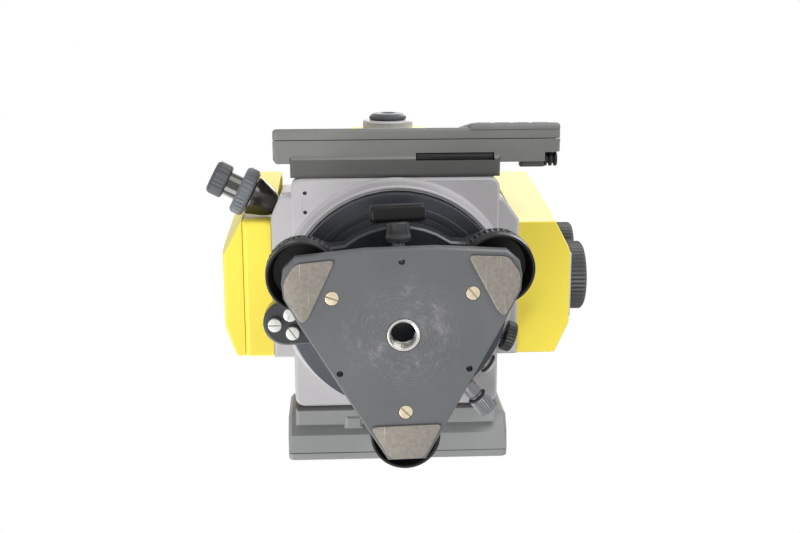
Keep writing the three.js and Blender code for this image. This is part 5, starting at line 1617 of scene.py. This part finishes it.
@dataclass
class Covers:
    """Yellow side covers, battery and its latch, and the strip behind the coarse knobs."""

    cover_rims: Span = (0.4 * MM, 3.6 * MM)
    facet_degrees: float = 12.0
    strip_rims: Span = (0.3 * MM, 0.8 * MM)
    rib_depths: tuple[float, ...] = (-10.0 * MM, -6.0 * MM, -2.0 * MM, 2.0 * MM, 6.0 * MM, 10.0 * MM)
    rib_width: float = 1.6 * MM
    rib_heights: Span = (207.0 * MM, 215.0 * MM)
    rib_faces: Span = (-105.9 * MM, -104.9 * MM)
    rib_edges: Span = (0.7 * MM, 0.4 * MM)

    def build(self) -> None:
        """Make the covers and what sits in them."""
        for node, body, seam in (("left_cover", "alidade", RIGHT), ("right_cover", "alidade", LEFT),
                                 ("battery_pack", "battery", RIGHT)):
            recast(node, body, YELLOW, Rounding(*self.cover_rims, (seam,), self.facet_degrees))
        recast("battery_latch", "latch", STRIP_PLASTIC, Rounding(*self.strip_rims))
        self.latch_ribs()
        recast("knob_panel", "alidade", STRIP_PLASTIC, Rounding(*self.strip_rims, (LEFT,)))

    def latch_ribs(self) -> None:
        """Upright ribs for the thumb on the battery latch: prisms of depth and height, raised along -X."""
        shell = Shell()
        corner, rim = self.rib_edges
        for depth in self.rib_depths:
            depths = (depth - self.rib_width / 2, depth + self.rib_width / 2)
            shell.add(slab(depths, self.rib_heights, corner, self.rib_faces, rim)[..., [2, 0, 1]])
        dress(shell.build("latch_ribs"), "latch", STRIP_PLASTIC)


@dataclass
class SideKnobs:
    """Coarse knobs on the right cover, and the small knobs and the plug low on the right."""

    tangent: FlutedKnob = FlutedKnob(22.0 * MM, 13.0 * MM, 50, rim=2.6 * MM)
    tangent_line: Axis = Axis((110.3 * MM, 4.0 * MM, 149.97 * MM), RIGHT)
    clamp: FlutedKnob = FlutedKnob(15.0 * MM, 13.0 * MM, 34, rim=2.0 * MM)
    clamp_line: Axis = Axis((110.3 * MM, -8.4 * MM, 188.0 * MM), RIGHT)
    low_height: float = 79.0 * MM
    low_seat: float = 67.3 * MM
    low_clamp: FlutedKnob = FlutedKnob(9.0 * MM, 6.6 * MM, 26, 3.0 * MM, 2.2 * MM, 0.8 * MM, 1.0, 1.2 * MM)
    low_clamp_degrees: float = 20.0
    low_clamp_disc: Turned = Turned("turn_clamp_disc", "horizontal_clamp", FOCUS_GREY, "horizontal_clamp_knob", (
        (0.0, 5.6), (6.1, 5.6), (6.1, 6.6), (5.6, 6.9), (0.0, 6.9)), 0.3, 48)
    plug_degrees: float = 37.0
    plug_head: Turned = Turned("round_plug", "alidade", FOCUS_GREY, "side_plug", (
        (0.0, -2.2), (3.0, -2.2), (3.0, 0.0), (5.5, 0.0), (5.5, 2.6), (4.6, 3.6), (0.0, 3.6)), 0.5, 48)
    plug_ring: float = 5.3 * MM
    plug_ring_thickness: float = 0.8 * MM
    plug_ring_lift: float = 1.05
    plug_ring_rows: int = 16
    plug_ring_sides: int = 64
    low_tangent: FlutedKnob = FlutedKnob(6.0 * MM, 11.4 * MM, 24, 4.2 * MM, 2.0 * MM, 0.55 * MM, 0.8, 1.2 * MM,
                                         rim=0.6 * MM)
    low_tangent_degrees: float = 52.0
    low_tangent_start: float = 78.6 * MM
    tangent_shaft: Turned = Turned("turn_tangent_shaft", "horizontal_tangent", TIP_GREY, "horizontal_tangent_knob", (
        (0.0, 65.2), (3.0, 65.2), (3.0, 67.3), (4.5, 67.5), (4.5, 75.8), (3.3, 76.0), (3.3, 79.0), (0.0, 79.0)),
        0.3, 48)
    tangent_ring: Turned = Turned("turn_tangent_ring", "horizontal_tangent", RUBBER, "tangent_ring", (
        (3.7, 77.5), (3.7, 78.3), (5.9, 78.3), (5.9, 77.5)), 0.35, 64, closed=True)

    def build(self) -> None:
        """Make the four knobs, the plug and the two rings."""
        wide = self.tangent.build("coarse_tangent_knob", self.tangent_line)
        dress(wide, "vertical_tangent", KNOB_GREY, "vertical_tangent_knob")
        narrow = self.clamp.build("coarse_clamp_knob", self.clamp_line)
        dress(narrow, "vertical_clamp", KNOB_GREY, "vertical_clamp_knob")
        self.low_clamp_knob()
        self.plug()
        self.low_tangent_knob()

    def radial(self, degrees: float, radius: float = 0.0) -> Axis:
        """Line outwards from the vertical axis at a direction, whose height is 0 at the radius given."""
        direction = heading(degrees)
        return Axis((radius * direction[0], radius * direction[1], self.low_height), direction)

    def low_clamp_knob(self) -> None:
        """Dark ridged flange with a light disc in its face."""
        axis = self.radial(self.low_clamp_degrees, self.low_seat)
        flange = self.low_clamp.build("turn_clamp_flange", axis)
        dress(flange, "horizontal_clamp", BARREL_BLACK, "horizontal_clamp_knob")
        self.low_clamp_disc.build(axis)

    def plug(self) -> None:
        """Light round plug with a black ring of round section at its root.

        The ring's point at angle a is (r + t cos a, t lift + t sin a).
        """
        axis = self.radial(self.plug_degrees, self.low_seat)
        self.plug_head.build(axis)
        angle = np.linspace(0.0, FULL_TURN, self.plug_ring_rows, endpoint=False)
        thick = self.plug_ring_thickness
        heights = thick * (self.plug_ring_lift + np.sin(angle))
        profile = np.stack([self.plug_ring + thick * np.cos(angle), heights], axis=-1)
        ring = axis.piece("plug_ring", profile, self.plug_ring_sides, ends=Ends.LOOP)
        dress(ring, "alidade", RUBBER, "side_plug")

    def low_tangent_knob(self) -> None:
        """Steel-grey shaft, fine ridged tip and black ring of the horizontal tangent screw."""
        line = self.radial(self.low_tangent_degrees)
        self.tangent_shaft.build(line)
        axis = self.radial(self.low_tangent_degrees, self.low_tangent_start)
        tip = self.low_tangent.build("turn_tangent_tip", axis)
        dress(tip, "horizontal_tangent", TIP_GREY, "horizontal_tangent_knob")
        self.tangent_ring.build(line)


@dataclass
class Plummet:
    """Optical plummet: tube, focusing ring, eyepiece and its lens on one line."""

    place: Place = (-70.0 * MM, -49.5 * MM, 112.0 * MM)
    degrees: float = 207.0
    rows: tuple[Turned, ...] = (
        Turned("plummet_cone", "alidade", TUBE_DARK, "plummet_tube", (
            (0.0, -14.0), (6.0, -14.0), (6.0, 2.8), (6.6, 2.8), (8.4, 6.0), (11.6, 15.0), (12.0, 17.7), (7.6, 17.7),
            (7.6, 36.0), (0.0, 36.0)), 1.0, 96),
        Turned("plummet_ring", "plummet_focus", RING_GREY, "plummet_focus_ring", (
            (7.9, 17.9), (13.2, 17.9), (14.7, 19.3), (14.7, 24.6), (13.0, 26.4), (9.8, 26.4), (9.2, 25.4),
            (7.9, 25.4)), 0.6, 408, Knurl(34, 0.6 * MM, 19.2 * MM, 25.4 * MM, 3.0, 13.8 * MM), closed=True),
        Turned("plummet_eye", "plummet_eyepiece", KNOB_GREY, "plummet_eyepiece", (
            (7.9, 33.8), (9.3, 33.8), (10.3, 34.8), (10.3, 41.8), (8.6, 43.7), (6.4, 43.7), (5.4, 42.6), (5.0, 40.0),
            (5.0, 36.6), (7.9, 36.6)), 0.5, 240, Knurl(20, 0.6 * MM, 34.6 * MM, 42.6 * MM, 2.0, 9.7 * MM),
            closed=True),
        Turned("plummet_eye_lens", "plummet_eyepiece", COATED, "plummet_eyepiece", (
            (0.0, 36.5), (4.9, 36.5), (4.9, 37.6), (3.4, 38.3), (1.7, 38.7), (0.0, 38.8)), 0.2, 48),
    )

    def build(self) -> None:
        """Make the pieces of the plummet."""
        axis = Axis(self.place, heading(self.degrees))
        for row in self.rows:
            row.build(axis)


@dataclass
class Telescope:
    """Telescope on its trunnions: shell, barrel, lens, focusing ring and eyepiece."""

    body: str = "telescope"
    centre: Place = (0.0, 0.0, 205.0 * MM)
    stations: Table = ((-86.0, 28.0, 15.0), (-72.0, 33.0, 23.0), (-40.0, 33.0, 27.0), (40.0, 33.0, 27.0),
                       (62.0, 28.0, 25.0))
    squareness: float = 4.5
    end_rounding: float = 3.0 * MM
    end_rows: int = 8
    even_rows: int = 60
    nearest_rows: float = 1e-3 * MM
    seams: Span = (-40.0 * MM, 40.0 * MM)
    seam_depth: float = 0.5 * MM
    seam_width: float = 0.35 * MM
    seam_reach: float = 3.0
    seam_rows: int = 13
    columns: int = 128
    trunnions: Turned = Turned("trunnions", "telescope", BARREL_BLACK, "telescope_body", (
        (0.0, -80.0), (6.0, -80.0), (6.0, -66.0), (11.0, -66.0), (11.0, -37.0), (15.0, -36.4), (15.0, -31.0),
        (15.0, 31.0), (15.0, 36.4), (11.0, 37.0), (11.0, 66.0), (0.0, 66.0)), 0.6, 72)
    objective_rows: tuple[Turned, ...] = (
        Turned("objective_tube", "telescope", BARREL_BLACK, "objective_barrel", (
            (17.0, 50.4), (20.0, 50.4), (20.0, 62.3), (23.2, 62.3), (24.0, 63.1), (24.0, 80.8), (23.0, 82.0),
            (21.6, 82.0), (21.0, 81.2), (20.9, 74.6), (20.7, 70.0), (17.0, 70.0)), 0.35, 128, closed=True),
        Turned("objective_band", "telescope", RUBBER, "objective_barrel", (
            (23.65, 64.2), (23.65, 64.9), (24.25, 65.2), (24.25, 71.4), (23.65, 71.7), (23.65, 72.4)), 0.2, 360,
            Knurl(60, 0.5 * MM, 64.6 * MM, 72.0 * MM, 1.2, 23.4 * MM), closed=True),
        Turned("objective_baffle", "telescope", INSIDE_BLACK, "objective_barrel", (
            (0.0, 62.5), (16.9, 62.5), (16.9, 69.8), (16.2, 69.8), (14.5, 64.0), (0.0, 63.4)), 0.3, 72),
    )
    lens_radius: float = 20.6 * MM
    lens_heights: tuple[float, float, float] = (70.4 * MM, 71.4 * MM, 74.2 * MM)
    lens_rows: int = 16
    lens_sides: int = 96
    eye_rows: tuple[Turned, ...] = (
        Turned("focus_collar", "focusing_ring", FOCUS_GREY, "focusing_ring", (
            (0.0, 78.2), (9.0, 78.2), (9.0, 86.3), (15.9, 86.3), (16.7, 87.0), (16.7, 91.2), (15.7, 92.2),
            (9.0, 92.2), (0.0, 92.2)), 0.5, 288, Knurl(72, 0.35 * MM, 87.4 * MM, 90.8 * MM, 1.5, 16.0 * MM)),
        Turned("eye_cup", "telescope_eyepiece", KNOB_GREY, "telescope_eyepiece", (
            (0.0, 92.3), (11.6, 92.5), (12.6, 93.2), (12.2, 94.8), (9.6, 96.5), (6.0, 96.8), (4.6, 96.4),
            (4.0, 94.4), (0.0, 94.0)), 0.5, 288, Knurl(48, 0.3 * MM, 92.8 * MM, 94.6 * MM, 1.0, 11.8 * MM)),
    )

    def build(self) -> None:
        """Make the pieces of the telescope, of which the light ring and the dark cup make the eye end."""
        dress(Shell().add(self.shell_grid()).build("telescope_shell"), self.body, SCOPE_YELLOW, "telescope_body")
        self.trunnions.build(Axis(self.centre, RIGHT))
        keep("vertical_circle", CLEAR)
        self.objective()
        for row in self.eye_rows:
            row.build(Axis(self.centre, FORWARDS))

    def stops(self) -> Points:
        """Places along Y where the shell has a section: even ones, and more of them at its ends and seams.

        Returns:
            The places, in order.
        """
        first, last = millimetres(self.stations)[[0, -1], 0]
        step = self.end_rounding * (1.0 - np.cos(np.linspace(0.0, math.pi / 2, self.end_rows)))
        bell = self.seam_width * np.linspace(-self.seam_reach, self.seam_reach, self.seam_rows)
        near_seams = [seam + bell for seam in self.seams]
        even = np.linspace(first, last, self.even_rows)
        stops = np.unique(np.concatenate([first + step, last - step, even, *near_seams]))
        return stops[np.concatenate([[True], np.diff(stops) > self.nearest_rows])]

    def shell_grid(self) -> Points:
        """Superellipse sections along Y.

        At angle t a section's point is (a sign(cos t) |cos t|^(2/n), b sign(sin t) |sin t|^(2/n)). The half
        width a and half height b go from station to station by s^2 (3 - 2 s), and shrink by
        e - sqrt(e^2 - (e - d)^2) at a distance d less than e from an end, and by a narrow bell at each seam.

        Returns:
            A grid of points, rows from the eye end to the objective.
        """
        table = millimetres(self.stations)
        along_y = self.stops()
        index = np.clip(np.searchsorted(table[:, 0], along_y, side="right") - 1, 0, len(table) - 2)
        share = (along_y - table[index, 0]) / (table[index + 1, 0] - table[index, 0])
        share = share**2 * (3.0 - 2.0 * share)
        halves = table[index, 1:] + (table[index + 1, 1:] - table[index, 1:]) * share[:, None]
        radius = self.end_rounding
        gap = np.minimum(np.minimum(along_y - table[0, 0], table[-1, 0] - along_y), radius)
        shrink = radius - np.sqrt(np.maximum(radius**2 - (radius - gap) ** 2, 0.0))
        for seam in self.seams:
            shrink = shrink + self.seam_depth * np.exp(-(((along_y - seam) / self.seam_width) ** 2))
        halves = halves - shrink[:, None]
        turn = np.linspace(0.0, FULL_TURN, self.columns, endpoint=False)
        across, upwards = (np.sign(wave) * np.abs(wave) ** (2.0 / self.squareness)
                           for wave in (np.cos(turn), np.sin(turn)))
        depth = along_y[:, None] + 0.0 * turn
        section = [halves[:, :1] * across, depth, halves[:, 1:] * upwards]
        return np.stack(section, axis=-1) + np.array(self.centre)

    def objective(self) -> None:
        """Barrel with a ridged rubber band, a black baffle and a domed lens before it.

        The lens's front is a parabola, h = top - (top - edge) (r / R)^2.
        """
        axis = Axis(self.centre, BACKWARDS)
        for row in self.objective_rows:
            row.build(axis)
        back, edge, top = self.lens_heights
        radii = np.linspace(self.lens_radius, 0.0, self.lens_rows)
        front = np.stack([radii, top - (top - edge) * (radii / self.lens_radius) ** 2], axis=-1)
        profile = np.concatenate([[[0.0, back], [self.lens_radius, back]], front])
        dress(axis.piece("front_lens", profile, self.lens_sides), self.body, COATED, "objective_lens")


@dataclass
class Handle:
    """Carrying handle with its grip sleeve and two thumb screws."""

    body: str = "alidade"
    foot: float = 250.3 * MM
    outside: tuple[float, float, float] = (64.0 * MM, 342.6 * MM, 13.0 * MM)
    inside: tuple[float, float, float] = (49.0 * MM, 314.0 * MM, 9.0 * MM)
    half_depth: float = 12.8 * MM
    rim: float = 4.0 * MM
    rim_rows: int = 7
    leg_rows: int = 12
    bend_rows: int = 14
    sleeve: Table = ((-12.8, 314.0), (12.8, 314.0), (12.8, 342.6), (-12.8, 342.6))
    sleeve_corner: float = 6.0 * MM
    sleeve_corner_steps: int = 8
    sleeve_half: float = 38.0 * MM
    sleeve_ribs: int = 15
    rows_a_rib: int = 10
    rib_sharpness: float = 0.5
    rib_height: float = 1.6
    rib_floor: float = 0.6
    rib_runout: float = 2.0
    sleeve_proud: float = 0.35 * MM
    sleeve_sunk: float = 0.1 * MM
    bore: Table = ((0.0, 52.0), (2.8, 52.0), (2.8, 70.0), (0.0, 70.0))
    bore_sides: int = 32
    screw_height: float = 262.0 * MM
    screw_seat: float = 64.3 * MM
    screw: FlutedKnob = FlutedKnob(6.5 * MM, 6.0 * MM, 22, 2.5 * MM, 10.0 * MM, 0.6 * MM, 1.0, 1.0 * MM,
                                   rim=0.8 * MM)

    def build(self) -> None:
        """Make the handle, its sleeve and its screws."""
        handle = Shell().add(self.bow_grid()).build("handle_bow")
        for number, side in ((1, LEFT), (2, RIGHT)):
            bore = along(turned(millimetres(self.bore), self.bore_sides), (0.0, 0.0, self.screw_height), side)
            carve(handle, Shell().add(bore, Ends.POLES))
            seat = Axis((self.screw_seat * side[0], 0.0, self.screw_height), side)
            screw = self.screw.build(f"thumb_screw_{number}", seat)
            dress(screw, f"handle_screw_{number}", STEEL, f"handle_screw_{number}")
        dress(handle, self.body, HANDLE_PLASTIC, "carry_handle")
        self.grip_sleeve()

    def path(self, half_width: float, top: float, bend: float) -> Points:
        """Line from the left foot over the top to the right foot, with its two bends as arcs.

        Args:
            half_width: Distance of the legs from the middle.
            top: Height of the bar.
            bend: Radius of the bends.

        Returns:
            Rows of x and z.
        """
        turn = np.linspace(math.pi, math.pi / 2, self.bend_rows)
        arc = np.stack([np.cos(turn), np.sin(turn)], axis=-1) * bend + np.array([bend - half_width, top - bend])
        legs = np.linspace(self.foot, top - bend, self.leg_rows, endpoint=False)
        left = np.concatenate([np.stack([0.0 * legs - half_width, legs], axis=-1), arc])
        return np.concatenate([left, left[::-1] * np.array([-1.0, 1.0])])

    def bow_grid(self) -> Points:
        """A rounded rectangle carried between the outer and the inner line of the bow.

        With the middle M and the half gap h of the two lines, a point of a corner at angle a is
        M + (h - rim + rim cos a) towards the outer line and (half depth - rim + rim sin a) along Y.

        Returns:
            A grid of points, rows from the left foot to the right one.
        """
        outer = self.path(*self.outside)
        inner = self.path(*self.inside)
        middle = (outer + inner) / 2
        gap = np.linalg.norm(outer - inner, axis=1, keepdims=True) / 2
        away = (outer - middle) / gap
        angle = np.linspace(0.0, math.pi / 2, self.rim_rows)
        quarters = np.concatenate([angle, math.pi - angle[::-1], math.pi + angle, -angle[::-1]])
        sides = np.repeat([[1.0, 1.0], [-1.0, 1.0], [-1.0, -1.0], [1.0, -1.0]], len(angle), axis=0)
        reach = sides[:, 0] * (gap - self.rim) + self.rim * np.cos(quarters)
        deep = sides[:, 1] * (self.half_depth - self.rim) + self.rim * np.sin(quarters)
        flat = middle[:, None] + away[:, None] * reach[..., None]
        return np.stack([flat[..., 0], np.broadcast_to(deep, reach.shape), flat[..., 1]], axis=-1)

    def grip_sleeve(self) -> None:
        """Ribbed sleeve round the bar.

        The bar's section stands out by p (height |sin(pi n s)|^sharpness - floor) at a share s of its length,
        and runs out to a little less than the bar's own size at both ends.
        """
        section = softened(millimetres(self.sleeve), self.sleeve_corner, self.sleeve_corner_steps, closed=True)
        share = np.linspace(0.0, 1.0, self.sleeve_ribs * self.rows_a_rib + 1)
        wave = np.abs(np.sin(math.pi * self.sleeve_ribs * share)) ** self.rib_sharpness
        ends = np.minimum(np.minimum(share, 1.0 - share) * self.sleeve_ribs * self.rib_runout, 1.0)
        ribbed = self.sleeve_proud * (wave * self.rib_height - self.rib_floor) * ends
        proud = ribbed - self.sleeve_sunk * (1.0 - ends)
        across = self.sleeve_half * (2.0 * share - 1.0)
        rows = [np.insert(inset(section, -out), 0, x, axis=1) for out, x in zip(proud, across)]
        dress(Shell().add(np.stack(rows)).build("handle_sleeve"), self.body, GRIP_RUBBER)


@dataclass(frozen=True)
class Lamp:
    """A square soft lamp."""

    name: str
    place: Place
    size: float
    watts: float


@dataclass
class Studio:
    """Camera, lamps, world and floor."""

    camera_place: Place = (-0.0310, -0.1762, -0.6010)
    camera_direction: Place = (0.0470, 0.2245, 0.9733)
    camera_up: Place = (0.0143, -0.9745, 0.2240)
    lens_mm: float = 53.7
    sensor_mm: float = 36.0
    aim: Place = (0.0, 0.0, 0.12)
    lamps: tuple[Lamp, ...] = (
        Lamp("over_the_panel", (0.7, -1.1, -0.5), 1.1, 13.0),
        Lamp("beside_the_camera", (-0.9, 0.65, -0.95), 1.0, 19.0),
        Lamp("above", (0.5, -0.6, 1.5), 1.2, 10.0),
        Lamp("behind", (-0.6, 1.2, 0.8), 1.2, 6.0),
    )
    clip_start: float = 0.01
    world_strength: float = 0.5
    floor_radius: float = 2.5
    floor_sides: int = 64
    floor_near: float = 0.25
    floor_far: float = 2.25
    floor_colour: Colour = (0.86, 0.86, 0.85)

    def build(self) -> None:
        """Make the camera, the lamps, the world and the floor."""
        bpy.context.scene.view_settings.view_transform = "Standard"
        self.camera()
        self.world()
        self.floor()
        for lamp in self.lamps:
            self.light(lamp)

    def camera(self) -> None:
        """Camera whose axes are the view direction, the up direction and the one square to both."""
        data = bpy.data.cameras.new("photo_camera")
        data.lens = self.lens_mm
        data.sensor_width = self.sensor_mm
        data.clip_start = self.clip_start
        thing = linked("photo_camera", data)
        back = -Vector(self.camera_direction).normalized()
        right = Vector(self.camera_up).cross(back).normalized()
        up = back.cross(right)
        turn = Matrix((right, up, back)).transposed().to_4x4()
        thing.matrix_world = Matrix.Translation(Vector(self.camera_place)) @ turn
        bpy.context.scene.camera = thing

    def light(self, lamp: Lamp) -> None:
        """Put up a lamp that points at the middle of the instrument and that the camera doesn't see.

        Args:
            lamp: The lamp.
        """
        data = bpy.data.lights.new(lamp.name, "AREA")
        data.shape = "SQUARE"
        data.size = lamp.size
        data.energy = lamp.watts
        thing = linked(lamp.name, data)
        place = Vector(lamp.place)
        turn = (Vector(self.aim) - place).to_track_quat("-Z", "Y").to_matrix().to_4x4()
        thing.matrix_world = Matrix.Translation(place) @ turn
        thing.visible_camera = False

    def world(self) -> None:
        """Even light from all round, which the camera, gloss and glass see as white."""
        world = bpy.data.worlds.new("soft_room")
        bpy.context.scene.world = world
        world.use_nodes = True
        graph = Graph(world.node_tree)
        output = graph.add("ShaderNodeOutputWorld")
        path = graph.add("ShaderNodeLightPath")
        seen = graph.maths("MAXIMUM", path.outputs["Is Camera Ray"], path.outputs["Is Transmission Ray"])
        seen = graph.maths("MAXIMUM", seen, path.outputs["Is Glossy Ray"])
        span = 1.0 - self.world_strength
        strength = graph.maths("ADD", graph.maths("MULTIPLY", seen, span), self.world_strength)
        light = graph.add("ShaderNodeBackground", Color=(1.0, 1.0, 1.0, 1.0), Strength=strength)
        graph.feed(output.inputs["Surface"], light.outputs[0])

    def floor(self) -> None:
        """Round pale floor that only the camera sees, from above. It fades into the white with distance."""
        turn = np.linspace(0.0, FULL_TURN, self.floor_sides, endpoint=False)
        rim = np.stack([np.cos(turn), np.sin(turn), 0.0 * turn], axis=-1) * self.floor_radius
        mesh = bpy.data.meshes.new("floor")
        mesh.from_pydata(rim.tolist(), [], [list(range(len(rim)))])
        thing = linked("floor", mesh)
        thing.data.materials.append(self.floor_material())
        thing.visible_diffuse = False
        thing.visible_glossy = False
        thing.visible_transmission = False
        thing.visible_shadow = False

    def floor_material(self) -> bpy.types.Material:
        """Matte pale surface, clear from below and towards its edge.

        Returns:
            The material.
        """
        material = bpy.data.materials.new("floor")
        material.use_nodes = True
        graph = Graph(material.node_tree)
        output = graph.add("ShaderNodeOutputMaterial")
        matte = graph.add("ShaderNodeBsdfDiffuse", Color=(*self.floor_colour, 1.0))
        clear = graph.add("ShaderNodeBsdfTransparent")
        below = graph.add("ShaderNodeNewGeometry").outputs["Backfacing"]
        distance = graph.add("ShaderNodeVectorMath", {"operation": "LENGTH"}, Vector=graph.place())
        far = graph.ramp(distance.outputs["Value"], self.floor_near, self.floor_far)
        mix = graph.add("ShaderNodeMixShader")
        parts = (graph.maths("MAXIMUM", below, far), matte.outputs[0], clear.outputs[0])
        for socket, value in zip(mix.inputs, parts):
            graph.feed(socket, value)
        graph.feed(output.inputs["Surface"], mix.outputs[0])
        return material


FRONT_PANEL = Panel(
    name="front", face=PanelFace(-99.0 * MM, -1.0), key_face=PanelFace(-101.6 * MM, -1.0),
    display=(-63.0 * MM, 34.0 * MM), keys=(47.0 * MM, 92.0 * MM), key_columns=4, power_x=84.0 * MM,
    finish=PANEL_PLASTIC, neck_depth=81.0 * MM, lid_sides=(-71.5 * MM, 97.0 * MM),
    lid_ups=((0.9 * MM, 60.7 * MM), (0.0, 69.5 * MM)), raised_from=42.8 * MM,
)
# The rear panel's finish is the lighter copy of the panel plastic, with painted light from below and behind.
REAR_PANEL = Panel(
    name="rear", face=PanelFace(106.3 * MM, 1.0), key_face=PanelFace(106.3 * MM, 1.0),
    display=(-58.0 * MM, 16.0 * MM), keys=(22.0 * MM, 58.0 * MM), key_columns=3, power_x=50.0 * MM,
    finish=REAR_PLASTIC_PAINTED_LIGHT, neck_depth=76.0 * MM, lid_sides=(-66.5 * MM, 68.5 * MM),
    lid_ups=((0.7 * MM, 63.6 * MM), (0.0, 67.7 * MM)), lid_thickness=5.1 * MM,
)


def main() -> None:
    """Build the sub-assemblies in order and the studio round them."""
    logging.basicConfig(level=logging.INFO, format="%(message)s")
    assemblies = (Tribrach(), VerticalAxis(), Alidade(), FRONT_PANEL, REAR_PANEL, Ports(), Covers(), SideKnobs(),
                  Plummet(), Telescope(), Handle(), Studio())
    for assembly in assemblies:
        LOG.info("building %s", type(assembly).__name__)
        assembly.build()


if __name__ == "__main__":
    main()
